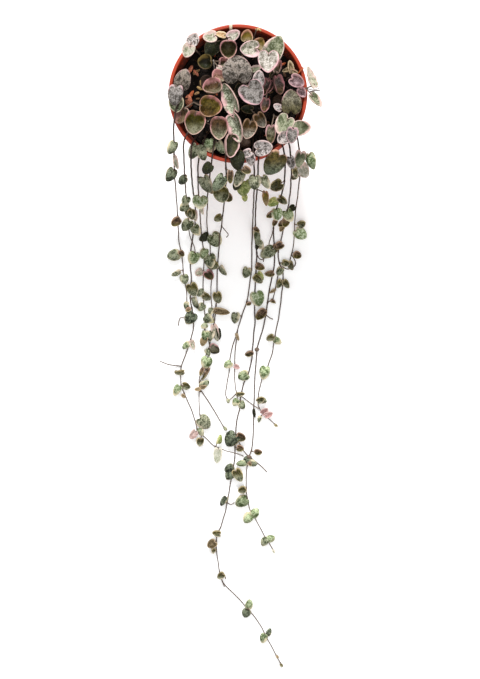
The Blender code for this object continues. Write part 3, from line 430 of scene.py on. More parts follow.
            (12.2, -258), (11.1, -272), (8.8, -279), (7, -288), (6.6, -298), (7, -310), (9.9, -323),
            (14.1, -330), (21.4, -343), (27.2, -352.5)],
        "branches": [[(8.8, -279), (17.5, -286), (23.1, -291.6)]],
        "twigs": [[(28.1, -97), (27, -102), (25.2, -107), (24.6, -110)], [(23.6, -156.4),
            (26, -154.6), (28.4, -154), (29.8, -157)], [(22.3, -165.4), (25.2, -168.4),
            (28, -169.6)], [(8.6, -279), (5.2, -275.6), (2.6, -271.6), (0.6, -267.6)]],
        "knots": [(15.4, -194), (8.4, -280)],
        "leaves": [(26.2, -54.6, 20, 16.5, 216, -16, -8, "backlit"),
            (29.4, -68.4, 10.5, 10.5, 244, -10, 12, "moss"),
            (26.6, -78.4, 9, 8, 236, 10, 10, "lime"), (35.6, -77.6, 9, 6.5, 128, 14, 18, "moss"),
            (24.6, -86.4, 8, 6.4, 238, -10, -46, "brown"),
            (30.2, -87.6, 10, 10, 176, 6, 4, "fresh"), (22.8, -116, 13, 11, 236, 8, 10, "green"),
            (31, -113, 7, 5.5, 164, 8, 58, "brown"), (24.4, -132.2, 8, 6.4, 258, -6, -38, "brown"),
            (18.6, -166.4, 11.5, 8.4, 222, -8, 14, "brown"),
            (16.8, -275, 6.5, 5.6, 96, 10, 26, "brown"),
            (12.2, -284.8, 6.5, 6, 112, 10, 12, "green"), (2.6, -306.6, 7, 7, 252, 9, 12, "moss"),
            (2.4, -315, 11.6, 10.6, 240, 9, 8, "leafy"),
            (7.4, -328.6, 8.8, 8.6, 218, 10, 8, "leafy"),
            (13.6, -324.2, 8.6, 8, 40, 10, 8, "leafy"),
            (20.6, -347.4, 7.4, 6.8, 210, 10, 12, "green"),
            (26.4, -344.8, 7, 6.5, 70, 10, 8, "leafy"), (28.4, -355, 3.8, 2, 158, 8, 10, "ghost"),
            (29.2, -93.8, 6.4, 4.4, 205, 8, 20, "brown"), (12.6, -245, 7, 3.4, 172, 10, 40, "dark"),
            (2.6, -284.2, 9.4, 5.8, 262, 10, 14, "leafy"),
            (6.4, -282.6, 6.6, 6, 214, 10, 16, "deep"), (9.6, -285.4, 4, 3, 150, 10, 10, "brown"),
            (26.2, -52, 12, 11.5, 248, -6, 20, "dark")],
    },
    "vine_10": {
        "rim": -38, "landing": -110,
        "route": [(28, -20, 77.8), (34, -29, 90), (38.2, -38, 93.2), (40.4, -52), (40.6, -66),
            (39.9, -77), (38, -88), (36, -98), (34, -108), (31.9, -117), (33.4, -125.6), (36, -132),
            (35.2, -146), (33.5, -161), (31.1, -175), (29.3, -184), (27.3, -196), (24.2, -206),
            (19.8, -215.5), (17.5, -223), (16.2, -232), (16.2, -239), (21, -246), (25.6, -250),
            (29.6, -253.5)],
        "branches": [[(34.8, -127), (32, -134), (29.9, -145), (28, -153)]],
        "leaves": [(40, -52.4, 10, 7, 166, 10, 10, "marble"),
            (39.6, -88.6, 10.5, 9.6, 150, 10, 10, "leafy"),
            (34.4, -94.6, 6, 5.6, 238, -10, 16, "brown"),
            (38.4, -124.4, 6.4, 6.4, 108, -8, 20, "moss"),
            (32.4, -141.6, 8, 5.4, 206, 8, -14, "moss"), (39, -141.8, 8, 5.6, 146, 8, 14, "moss"),
            (25.2, -185, 7, 6, 242, 10, 10, "moss"), (31.6, -187.2, 7, 6, 124, 10, 10, "leafy"),
            (20.6, -212.4, 11.5, 9.6, 192, 9, 8, "leafy"),
            (20, -234.6, 6.5, 6, 110, 10, 16, "green"), (21.6, -242.4, 7, 6, 48, 10, 12, "pink"),
            (30.6, -254.6, 3, 2.4, 130, 8, 10, "moss"), (44, -59.4, 8.4, 5, 168, -14, 30, "moss"),
            (38.2, -93.6, 8.4, 7.6, 200, -8, 16, "brown"),
            (34.6, -98.2, 5.4, 4.2, 214, 8, 10, "tan"),
            (32.2, -111.8, 7.8, 7.4, 238, 10, 16, "brown"),
            (33, -131.4, 7.4, 6.4, 205, 10, 14, "green"),
            (28.2, -155.2, 4.4, 3.2, 120, 12, 10, "brown"),
            (27.4, -147.6, 6, 2.8, 240, 10, 30, "tan"), (18.4, -233.4, 7, 5.6, 62, 10, 14, "moss"),
            (24.8, -245, 7.2, 5.6, 72, 12, 20, "pink"),
            (16.8, -249.4, 5.6, 3.4, 196, 10, 14, "green")],
    },
    "vine_11": {
        "rim": -34, "landing": -105,
        "route": [(35.5, -12, 77.8), (40.6, -21, 89), (44.4, -32, 93), (46.8, -46), (47.3, -61),
            (46.4, -74), (45.4, -84), (45.2, -93), (44.7, -104), (43.6, -114), (41.8, -121)],
        "twigs": [[(42.6, -118.6), (45.2, -122), (45.9, -125.4), (43.4, -128.6), (39, -129.4),
            (35.2, -127.2)]],
        "leaves": [(46.4, -50, 12.5, 9, 192, -8, -14, "shaded"),
            (50, -58, 12, 11, 150, 12, 8, "frost"), (54, -51.4, 14, 9.4, 166, 8, 28, "leafy"),
            (43.4, -61, 7, 5, 218, 10, 14, "sage"), (41.8, -82.6, 6, 6, 238, -10, 12, "dark"),
            (50.6, -93.4, 7, 7, 62, -10, 16, "moss"), (50, -101.6, 11.4, 10.6, 128, 9, 6, "fresh"),
            (47.8, -117.8, 7, 7, 122, -8, 16, "brown"), (43.4, -127, 8, 6.6, 162, 9, 44, "moss")],
    },
    "vine_12": {
        "rim": -50, "landing": -106,
        "route": [(1.2, -31, 77.8), (1.8, -41, 89.6), (2.2, -50.5, 92.6), (2.6, -58), (3.4, -66),
            (4.6, -73)],
        "leaves": [(0.6, -64.6, 13.5, 8.6, 202, 6, -8, "sage"),
            (7, -58, 7, 6.4, 122, -10, 12, "brown"), (5, -77, 5.5, 5, 172, 8, 6, "lime"),
            (3.2, -72.4, 11.5, 12, 190, -20, 8, "lime"), (7.4, -69, 8, 8.4, 150, -20, 20, "lime"),
            (-1.4, -69, 8.4, 7, 206, -20, 10, "dark")],
    },
}

# Sprigs of the crown: short shoots from the soil that carry the leaves over the pot's mouth.
# "foot" is where the shoot leaves the soil, "node" where its leaves part, and "twig" a bare,
# dry end. Leaves are (x, y, z, length, width, heading, pitch, roll, look, cup, fold, curl), and
# then the heading that the margin blushes towards, which is +Y if it is left out.
# Cup lifts the margin, fold closes the leaf along its midrib, and curl bends its tip down.
SPRIGS = {
    "crown_01": {"foot": (-37, 6), "node": (-44.6, 5.4, 94), "leaves": [
        (-41.2, 10.9, 97, 15, 13.5, 14, 8, -12, "pewter", -0.14, 0.26, 0.12),
        (-47.6, -2.6, 97, 15, 12.5, 186, 5, 8, "slate", -0.16, 0.26, 0.14),
        (-46, -8.4, 90.4, 12, 12.4, 180, -18, 6, "green", 0.2, 0.1, 0.0)]},
    "crown_02": {"foot": (-9, 29), "node": (-8.6, 41, 88), "leaves": [
        (-2.6, 44, 93, 10, 8.5, 62, 10, 0, "bloom", 0.16, 0.1, 0.0),
        (-7.4, 33.4, 97, 15, 15, 178, -25, 0, "hollow", 0.46, 0.0, -0.05),
        (-13.6, 44.2, 91, 8, 5.5, 285, 5, 20, "straw", 0.1, 0.3, 0.1),
        (-19.4, 34.6, 85, 15, 13.4, 215, -6, 8, "dark", 0.12, 0.1, 0.0)]},
    "crown_03": {"foot": (-17, 33), "node": (-17, 39.4, 88), "leaves": [
        (-22, 42.2, 94, 10, 9.5, 262, 6, 0, "cream", 0.14, 0.0, 0.05)]},
    "crown_04": {"foot": (-27, 29), "node": (-36, 36.4, 92.4), "leaves": [
        (-33.2, 41, 95, 9.5, 9.5, 30, 6, 10, "marble", 0.14, 0.08, 0.05),
        (-38, 31, 95, 10.5, 10, 205, 6, -8, "cream", 0.12, 0.06, 0.08)]},
    "crown_05": {"foot": (-17.6, 15), "node": (-18.4, 25, 86), "leaves": [
        (-23.6, 23.8, 87, 12, 13, 265, -25, 0, "shadow", 0.4, 0.0, 0.0),
        (-12.2, 24, 85.5, 8, 8, 95, -35, 0, "dusk", 0.4, 0.0, 0.0),
        (-13.4, 18.8, 90, 5, 4, 130, 20, 0, "cream", 0.1, 0.2, 0.0)]},
    "crown_06": {"foot": (-15, 8), "node": (-11.6, 5.6, 88), "leaves": [
        (-15, 12.6, 92, 11.5, 11, 335, -12, 0, "rosy", 0.34, 0.0, 0.0),
        (-20.8, 1.6, 96, 15.5, 15, 250, 10, 18, "dusk", 0.44, 0.0, 0.0, 345)]},
    "crown_07": {"foot": (2, 8), "node": (4.6, 8.6, 93), "leaves": [
        (-0.4, 18, 104, 20, 23.5, -4, 4, 4, "silver", -0.12, 0.24, 0.18),
        (11.6, -2.6, 99, 17.5, 19.5, 150, 8, 0, "slate", 0.12, 0.24, 0.08, 235),
        (14, 19.4, 88, 7.4, 5.6, 70, 0, 10, "pale", 0.1, 0.1, 0.0),
        (1.2, 2.6, 84, 10, 8, 200, -10, 10, "dark", 0.2, 0.1, 0.0)]},
    "crown_08": {"foot": (15, 6), "node": (15.6, 5.4, 85), "leaves": [
        (15.6, 12.4, 89, 11.5, 9.5, 5, 8, 10, "marble", 0.1, 0.1, 0.05)]},
    "crown_09": {"foot": (25, 22), "node": (24.6, 28.4, 92), "leaves": [
        (22.8, 21, 101, 16, 16.5, 182, 12, 4, "bright", 0.12, 0.24, 0.05, 140),
        (28.4, 33.8, 97, 19.5, 16, 26, 6, -8, "pale", 0.08, 0.36, 0.05, 290)]},
    "crown_10": {"foot": (11, 27), "node": (14, 33, 86),
                 "twig": [(12.4, 42, 90), (14.2, 49, 93)], "leaves": [
        (7.6, 33.2, 93, 14, 13.5, 268, 10, -6, "bloom", 0.16, 0.06, 0.06, 140),
        (15.8, 38, 89, 9.5, 10, 40, -10, 10, "glow", 0.22, 0.0, 0.0)]},
    "crown_11": {"foot": (4, 33), "node": (4.6, 38, 86), "leaves": [
        (6.4, 43.6, 88, 10, 10, 12, -12, 10, "glow", 0.26, 0.0, 0.0)]},
    "crown_12": {"foot": (-3, -12), "node": (-2, -12.6, 93), "leaves": [
        (-4.8, -2.2, 97, 24, 14, 338, 4, -34, "folded", 0.26, 0.42, 0.0, 255),
        (1.2, -28.2, 97, 22.5, 14.5, 164, 4, 34, "folded", 0.26, 0.42, 0.05, 250)]},
    "crown_13": {"foot": (-30, -6), "node": (-33.6, -6.6, 88), "leaves": [
        (-20.6, -9.8, 95, 18, 18.5, 92, -12, 8, "amber", 0.4, 0.0, 0.0, 20),
        (-41, -19.6, 89.5, 14, 12.5, 205, 10, 34, "dusk", 0.34, 0.1, 0.0, 290)]},
    "crown_14": {"foot": (-24.6, -15.4), "node": (-26.4, -20.8, 88), "leaves": [
        (-34, -25.4, 97.5, 19, 18, 190, 6, -8, "olive", 0.38, 0.05, 0.0),
        (-14, -27, 95, 18.5, 15.5, 180, -14, 4, "dusk", 0.4, 0.05, 0.05),
        (-14, -30, 82, 10, 8, 220, -10, 10, "dark", 0.2, 0.1, 0.0)]},
    "crown_15": {"foot": (12, -12), "node": (12.6, -15, 84), "leaves": [
        (6.6, -28.6, 92, 15, 12.5, 196, 6, -14, "burnt", 0.28, 0.24, 0.0),
        (18, -20, 87.6, 12.5, 10, 150, -8, 16, "burnt", 0.3, 0.3, 0.0, 330),
        (6.4, -11.4, 82, 9.4, 7.4, 280, -8, 10, "dark", 0.2, 0.1, 0.0),
        (11.4, -24, 82, 10, 8, 160, -10, 10, "dark", 0.2, 0.1, 0.0)]},
    "crown_16": {"foot": (-1, -23), "node": (-4.8, -35.4, 88), "leaves": [
        (-8.4, -41.6, 98, 19, 14, 186, 4, -36, "crescent", 0.36, 0.24, 0.0, 280),
        (-0.6, -52, 96.8, 14.5, 12, 178, -8, 4, "dark", -0.16, 0.1, 0.05)]},
    "crown_17": {"foot": (12.8, -35.4), "node": (13.8, -44.4, 88), "leaves": [
        (20.2, -41.6, 96.6, 13, 12.5, 80, 6, 4, "marble", 0.14, 0.08, 0.05),
        (5.8, -46.2, 94.4, 8, 7, 246, 10, 10, "marble", 0.14, 0.1, 0.05),
        (9.6, -50.4, 92, 9.5, 7.6, 172, -16, 8, "marble", 0.1, 0.1, 0.05)]},
    "crown_18": {"foot": (27, -14), "node": (27.2, -16.6, 86), "leaves": [
        (33.8, -25.4, 97, 15, 14, 214, 6, 4, "pale", 0.1, 0.12, 0.05, 230),
        (25.4, -32, 90, 14, 8.5, 182, 6, 14, "ash", 0.2, 0.3, 0.05)]},
    "crown_19": {"foot": (38.4, -6.6), "node": (38.4, -13.4, 92), "leaves": [
        (40.4, -5, 97, 18.5, 16, 2, -6, 4, "ash", -0.14, 0.12, 0.18),
        (29.4, -10.4, 90.5, 7, 6, 300, 8, 10, "marble", 0.2, 0.1, 0.0)]},
    "crown_20": {"foot": (35.6, -19.6), "node": (39.2, -31, 94), "leaves": [
        (49, -27, 97, 13, 12.5, 82, 4, -8, "shaded", 0.16, 0.16, 0.05, 110),
        (40.6, -33.6, 102, 11.5, 9.5, 188, 6, 4, "slate", 0.1, 0.2, 0.1),
        (33.4, -36.4, 98, 11.5, 11, 238, 14, 10, "marble", 0.36, 0.0, 0.0)]},
    "crown_21": {"foot": (23, 12), "node": (24.4, 13.6, 82), "leaves": [
        (28.6, 5.6, 88, 15, 11, 168, -10, -40, "purple", 0.3, 0.25, 0.0),
        (22.8, 4.4, 84.4, 13, 9, 196, -8, 40, "purple", 0.3, 0.25, 0.0),
        (23.4, 5.4, 83, 12, 9, 205, -10, 16, "purple", 0.3, 0.1, 0.0),
        (31.6, 21.4, 86, 10.5, 7, 20, 10, -30, "dusk", 0.3, 0.2, 0.0),
        (20.8, -8.6, 84, 11, 8, 190, -12, 10, "purple", 0.3, 0.1, 0.0),
        (27, 13, 82, 10, 8, 330, -6, 10, "dark", 0.2, 0.1, 0.0)]},
    "crown_22": {"foot": (36, 12), "node": (41, 13.4, 87), "leaves": [
        (45.6, 8.4, 92.6, 11.5, 10.5, 120, 6, 10, "pinkish", 0.26, 0.2, 0.1),
        (38.8, 20.6, 92, 9.5, 5.5, 350, 20, 30, "tan", 0.2, 0.3, 0.0),
        (49, 0.6, 90.5, 8, 7, 150, -6, 16, "pinkish", 0.25, 0.2, 0.0),
        (36.2, 17.2, 90.4, 7, 3.6, 250, 14, 20, "tan", 0.2, 0.3, 0.0),
        (42.6, 16.6, 90.6, 7, 3.2, 110, 12, 20, "brown", 0.2, 0.3, 0.0)]},
    "crown_23": {"foot": (42, 2), "node": (51.2, 3.6, 93.4),
                 "twig": [(56, 2.2, 94.6), (61.4, 3.2, 95.4)], "leaves": [
        (53.6, 12, 96, 17, 9, 340, 6, 44, "cream", 0.2, 0.2, 0.0),
        (58.8, -6.6, 94, 13, 7.6, 138, 4, -24, "pale", 0.2, 0.3, 0.0, 130)]},
}

# Leaf looks: the colours of the marbling's dark and light parts, of the margin and of the
# underside, all as sRGB levels, then the margin's width and how strong the marbling is.
# Some looks hold painted light and shade: "shadow", "shaded", "hollow", "dusk" and "dark" are
# darkened as painted shade, and "olive", "glow" and "backlit" are coloured as painted light that
# shines through the leaf.
LOOKS = {
    "silver": ((46, 40, 33), (166, 154, 143), (212, 168, 168), (112, 88, 74), 0.5, 1.0),
    "pewter": ((42, 36, 29), (140, 128, 116), (206, 164, 164), (112, 88, 74), 0.5, 1.0),
    "slate": ((58, 53, 48), (166, 159, 154), (218, 174, 180), (112, 88, 80), 1.0, 0.95),
    "bright": ((112, 105, 92), (226, 219, 210), (230, 180, 186), (150, 126, 110), 0.8, 0.8),
    "ash": ((48, 44, 31), (136, 130, 108), (204, 156, 158), (104, 84, 66), 0.8, 0.95),
    "marble": ((74, 66, 62), (222, 212, 208), (234, 208, 206), (112, 88, 74), 0.6, 1.1),
    "cream": ((126, 132, 102), (226, 220, 202), (240, 210, 202), (170, 150, 118), 2.0, 0.8),
    "bloom": ((104, 108, 84), (228, 220, 206), (240, 202, 204), (176, 150, 126), 1.7, 0.85),
    "pale": ((86, 96, 64), (184, 186, 156), (234, 204, 196), (140, 124, 88), 1.3, 0.95),
    "shaded": ((54, 60, 36), (110, 114, 82), (222, 188, 180), (110, 94, 64), 1.2, 0.8),
    "folded": ((86, 94, 68), (208, 210, 186), (236, 190, 190), (190, 150, 140), 1.5, 1.0),
    "crescent": ((38, 40, 20), (84, 82, 50), (238, 196, 194), (180, 140, 130), 1.9, 0.8),
    "olive": ((44, 42, 5), (94, 86, 14), (222, 152, 152), (104, 78, 50), 1.5, 0.6),
    "amber": ((74, 66, 16), (146, 126, 56), (226, 156, 154), (112, 80, 50), 1.5, 0.9),
    "shadow": ((18, 16, 6), (44, 40, 18), (138, 116, 66), (86, 70, 44), 1.5, 0.6),
    "dusk": ((52, 38, 18), (128, 98, 66), (222, 158, 160), (116, 78, 70), 1.7, 0.7),
    "rosy": ((104, 74, 58), (196, 150, 130), (228, 166, 164), (130, 84, 76), 1.9, 0.9),
    "hollow": ((26, 19, 9), (70, 56, 34), (218, 158, 162), (116, 74, 66), 1.4, 0.6),
    "burnt": ((50, 36, 14), (108, 80, 38), (190, 152, 124), (104, 78, 50), 0.7, 0.7),
    "dark": ((14, 17, 5), (46, 50, 18), (96, 78, 56), (62, 46, 36), 0.4, 0.9),
    "purple": ((56, 44, 42), (124, 110, 104), (178, 118, 122), (88, 56, 58), 1.0, 0.8),
    "glow": ((84, 76, 12), (144, 118, 40), (204, 150, 124), (130, 94, 50), 0.8, 0.45),
    "pinkish": ((104, 76, 80), (200, 170, 174), (220, 174, 178), (130, 90, 90), 0.8, 0.9),
    "straw": ((176, 132, 86), (228, 200, 158), (236, 214, 178), (170, 130, 80), 0.8, 0.6),
    "far_green": ((66, 64, 42), (156, 154, 128), (226, 190, 176), (104, 78, 50), 1.2, 0.9),
    "far_silver": ((66, 60, 48), (190, 182, 166), (226, 190, 176), (104, 78, 50), 1.0, 1.1),
    "far_olive": ((42, 38, 16), (110, 102, 66), (206, 160, 150), (90, 70, 46), 0.8, 0.8),
    "green": ((60, 72, 42), (190, 196, 162), (242, 230, 196), (112, 92, 62), 1.4, 1.3),
    "leafy": ((78, 98, 52), (202, 216, 172), (248, 236, 200), (118, 104, 66), 1.6, 1.25),
    "fresh": ((108, 130, 78), (226, 238, 202), (250, 240, 210), (132, 120, 80), 1.6, 1.25),
    "lime": ((112, 128, 60), (212, 218, 146), (236, 226, 172), (136, 136, 70), 0.9, 1.0),
    "sage": ((56, 63, 40), (180, 181, 152), (238, 222, 196), (112, 92, 62), 1.3, 1.25),
    "deep": ((30, 38, 23), (136, 146, 119), (214, 198, 162), (96, 80, 56), 0.6, 1.3),
    "moss": ((42, 40, 14), (112, 104, 52), (212, 194, 150), (100, 80, 46), 0.6, 0.9),
    "brown": ((64, 48, 36), (150, 122, 98), (204, 168, 142), (92, 68, 48), 0.6, 1.0),
    "tan": ((92, 76, 46), (176, 154, 118), (212, 188, 154), (120, 94, 62), 0.6, 0.9),
    "pink": ((206, 152, 148), (242, 204, 200), (244, 212, 208), (170, 116, 112), 0.8, 0.8),
    "dusty": ((160, 128, 122), (220, 194, 188), (230, 204, 198), (150, 116, 108), 0.8, 0.8),
    "ghost": ((168, 176, 146), (238, 236, 220), (246, 238, 222), (200, 192, 166), 1.4, 0.7),
    "frost": ((170, 172, 150), (255, 250, 242), (255, 226, 218), (200, 184, 166), 2.2, 1.1),
    "backlit": ((48, 42, 12), (104, 88, 38), (222, 176, 152), (104, 86, 36), 1.1, 0.8),
}
# The look that a leaf fades to on its side away from the light, as painted light and shade.
PAINTED_LIGHT_FAR_LOOKS = {"olive": "far_green", "dusk": "far_green", "rosy": "far_green", "moss": "sage",
             "glow": "tan", "purple": "dusk", "backlit": "deep", "burnt": "far_silver",
             "ash": "far_olive", "shaded": "pale", "hollow": "far_olive", "shadow": "dark",
             "amber": "burnt", "brown": "moss"}

# Colours of all other skins, as sRGB levels. The marks and grains are mixed over the base colour.
TONES = {
    "leaf glint": (236, 234, 228), "light through a leaf": (146, 142, 50),
    "old stem": (40, 24, 20), "young stem": (112, 96, 83),
    "pot": (144, 42, 12), "pot clouds": (173, 57, 20), "pot grain": (150, 52, 28),
    # The pot's dusty colour, next, also stands for painted shade inside the pot.
    "pot scratches": (226, 150, 118), "soil dust": (46, 26, 18),
    # The soil, crumbs and clods are darker than damp compost, as painted shade under the leaves.
    "soil": (5, 4, 3), "crumbs": (22, 15, 11), "clods": (28, 19, 14),
    "soil fibres": (66, 46, 30), "soil grains": (98, 82, 64), "bit grain": (34, 24, 18),
    "corm": (50, 36, 28), "corm clouds": (96, 70, 52), "corm wrinkles": (30, 21, 17),
    "corm pores": (130, 104, 80), "floor": (238, 238, 238), "floor clouds": (243, 243, 243),
    "perlite": (196, 188, 172), "scrap": (186, 88, 50),
    "tan": (186, 146, 100), "orange": (206, 104, 60), "cream": (232, 216, 188),
    "peach": (228, 140, 108), "dark": (62, 40, 34), "straw": (214, 178, 120),
    "pale": (196, 186, 176),
    "bark 1": (84, 57, 36), "bark 2": (50, 33, 22), "bark 3": (108, 78, 48),
    "bark 4": (34, 23, 17), "bark 5": (25, 17, 13), "bark 6": (19, 13, 10),
}
BARKS = ["bark 1", "bark 2", "bark 3", "bark 4", "bark 5", "bark 6"]

# Scraps and dry stalks that the photo shows in one place.
# Scraps: x, y, height over the soil, length, turn, tone. Shape is their size as shares of length.
PLACED_BITS = [(-32, 18, 1.2, 6, 40, "tan"), (-27.6, 8.6, 2.6, 5.4, 110, "straw"),
               (-29, 5.4, 2.4, 5, 150, "straw"), (-31.4, 1.6, 2, 4.6, 20, "tan"),
               (-25.6, -2, 2, 4, 60, "straw"), (-25, 13, 1.2, 4, 75, "cream"),
               (34.7, 23.8, 4.0, 4, 30, "orange"), (-36, 20, 3.0, 6.5, 60, "peach"),
               (-32, 17, 3.2, 5.5, 130, "peach"), (-37.4, -4.6, 3, 11, 97, "peach"),
               (-35.6, 0.8, 2.4, 6, 60, "orange")]
PLACED_SHAPE = (0.5, 0.24, 0.12)
# Stalks: tone, radius, then the route.
PLACED_STRANDS = [
    ("pale", 0.5, (-18.6, 25.4, 90.6), (-18, 21, 88), (-17.4, 15.6, 84)),
    ("orange", 0.7, (49.3, 19.5, 91.5), (47, 17, 91), (43.7, 13, 88)),
    ("dark", 0.6, (53.6, 0.8, 92), (57, 1.6, 92.6), (62, 2.3, 92)),
    ("dark", 0.55, (14.2, 49, 91.4), (13, 45, 91.8), (11.6, 41, 89)),
    ("cream", 1.5, (-5.3, 51, 91), (-5.4, 49.6, 91.4), (-5.2, 47.6, 90.6)),
    ("straw", 1.2, (13.6, 47.8, 91), (15.4, 48.4, 91.5), (17.4, 47.2, 91)),
]

# How a mesh keeps a field, by how many numbers each of its values has.
FIELD_KINDS = {1: ("FLOAT", "value"), 3: ("FLOAT_VECTOR", "vector"), 4: ("FLOAT_COLOR", "color")}


def srgb(red, green, blue):
    """A linear colour from one given in 0 to 255 sRGB."""
    def linear(level):
        level /= 255
        return level / 12.92 if level <= 0.04045 else ((level + 0.055) / 1.055) ** 2.4

    return (linear(red), linear(green), linear(blue), 1.0)


def tone(name):
    return srgb(*TONES[name])


def add_object(name, data):
    obj = bpy.data.objects.new(name, data)
    bpy.context.scene.collection.objects.link(obj)
    return obj


class Pile:
    """Collects the vertices, faces and fields of one mesh, in millimetres."""

    def __init__(self):
        self.points = []
        self.faces = []
        self.fields = {}

    def add(self, points, faces, **fields):
        first = len(self.points)
        self.points.extend(points)
        self.faces.extend(tuple(first + corner for corner in face) for face in faces)
        for name, values in fields.items():
            self.fields.setdefault(name, []).extend(values)

    def build(self, name, material):
        mesh = bpy.data.meshes.new(name)
        mesh.from_pydata((np.array(self.points) * MM).tolist(), [], self.faces)
        for field, values in self.fields.items():
            numbers = np.array(values, np.float32)
            kind, key = FIELD_KINDS[numbers.size // len(numbers)]
            mesh.attributes.new(field, kind, "POINT").data.foreach_set(key, numbers.ravel())
        mesh.materials.append(material)
        mesh.validate()
        mesh.shade_smooth()
        return add_object(name, mesh)


def place(obj, slot, *nodes):
    """Every piece rides on the one body and may stand for CAD nodes. The slot is not used."""
    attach(obj, "root")
    if nodes:
        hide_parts(*nodes)


# --- Shader graphs ------------------------------------------------------------------------------


class Graph:
    """Short ways to add shader nodes to one new material. Texture scales are per millimetre."""

    def __init__(self, name):
        self.material = bpy.data.materials.new(name)
        self.material.use_nodes = True
        self.tree = self.material.node_tree
        self.tree.nodes.clear()

    def node(self, kind, settings=None, **inputs):
        made = self.tree.nodes.new(kind)
        for name, value in (settings or {}).items():
            setattr(made, name, value)
        for name, value in inputs.items():
            self.put(made.inputs[name.replace("_", " ")], value)
        return made

    def put(self, socket, value):
        if isinstance(value, bpy.types.NodeSocket):
            self.tree.links.new(value, socket)
        else:
            socket.default_value = value

    def attribute(self, name, output="Vector"):
        return self.node("ShaderNodeAttribute", {"attribute_name": name}).outputs[output]

    def join(self, x, y, z):
        return self.node("ShaderNodeCombineXYZ", X=x, Y=y, Z=z).outputs[0]

    def split(self, vector):
        return self.node("ShaderNodeSeparateXYZ", Vector=vector).outputs

    def math(self, operation, *values, kind="ShaderNodeMath", output=0):
        made = self.node(kind, {"operation": operation})
        for socket, value in zip(made.inputs, values):
            self.put(socket, value)
        return made.outputs[output]

    def add(self, first, second):
        return self.math("ADD", first, second)

    def less(self, first, second):
        return self.math("SUBTRACT", first, second)

    def times(self, first, second):
        return self.math("MULTIPLY", first, second)

    def line(self, value, slope, start):
        """value * slope + start."""
        return self.math("MULTIPLY_ADD", value, slope, start)

    def clamp(self, value):
        return self.node("ShaderNodeClamp", Value=value).outputs[0]

    def stretch(self, vector, x=1.0, y=1.0, z=1.0):
        return self.math("MULTIPLY", vector, (x, y, z), kind="ShaderNodeVectorMath")

    def object_mm(self):
        """The object's own coordinates in millimetres."""
        return self.stretch(self.node("ShaderNodeTexCoord").outputs["Object"], *[1 / MM] * 3)

    def ramp(self, value, low, high, start=0.0, end=1.0):
        """A smooth step of value: start up to low, end from high on."""
        made = self.node("ShaderNodeMapRange", {"interpolation_type": "SMOOTHSTEP"}, Value=value,
                         From_Min=low, From_Max=high, To_Min=start, To_Max=end)
        return made.outputs["Result"]

    def noise(self, vector, scale, detail=2.0, roughness=0.5, distortion=0.0, output="Fac"):
        made = self.node("ShaderNodeTexNoise", Vector=vector, Scale=scale, Detail=detail,
                         Roughness=roughness, Distortion=distortion)
        return made.outputs[output]

    def cells(self, vector, scale, feature="F1"):
        made = self.node("ShaderNodeTexVoronoi", {"feature": feature}, Vector=vector, Scale=scale)
        return made.outputs["Distance"]

    def mix(self, share, first, second):
        made = self.node("ShaderNodeMix", {"data_type": "RGBA"})
        for number, value in ((0, share), (6, first), (7, second)):
            self.put(made.inputs[number], value)
        return made.outputs[2]

    def tint(self, colour, mask, share, other):
        """The colour, with this share of the other one where the mask is 1."""
        return self.mix(self.times(mask, share), colour, other)

    def bump(self, height, strength, distance_mm):
        made = self.node("ShaderNodeBump", Height=height, Strength=strength,
                         Distance=distance_mm * MM)
        return made.outputs[0]

    def surface(self, colour, roughness, normal=None, specular=0.5, glow=0.0):
        made = self.node("ShaderNodeBsdfPrincipled", Base_Color=colour, Roughness=roughness,
                         Specular_IOR_Level=specular, Emission_Color=(1.0, 1.0, 1.0, 1.0),
                         Emission_Strength=glow)
        if normal is not None:
            self.put(made.inputs["Normal"], normal)
        return made.outputs[0]

    def finish(self, shader):
        self.node("ShaderNodeOutputMaterial", Surface=shader)
        return self.material


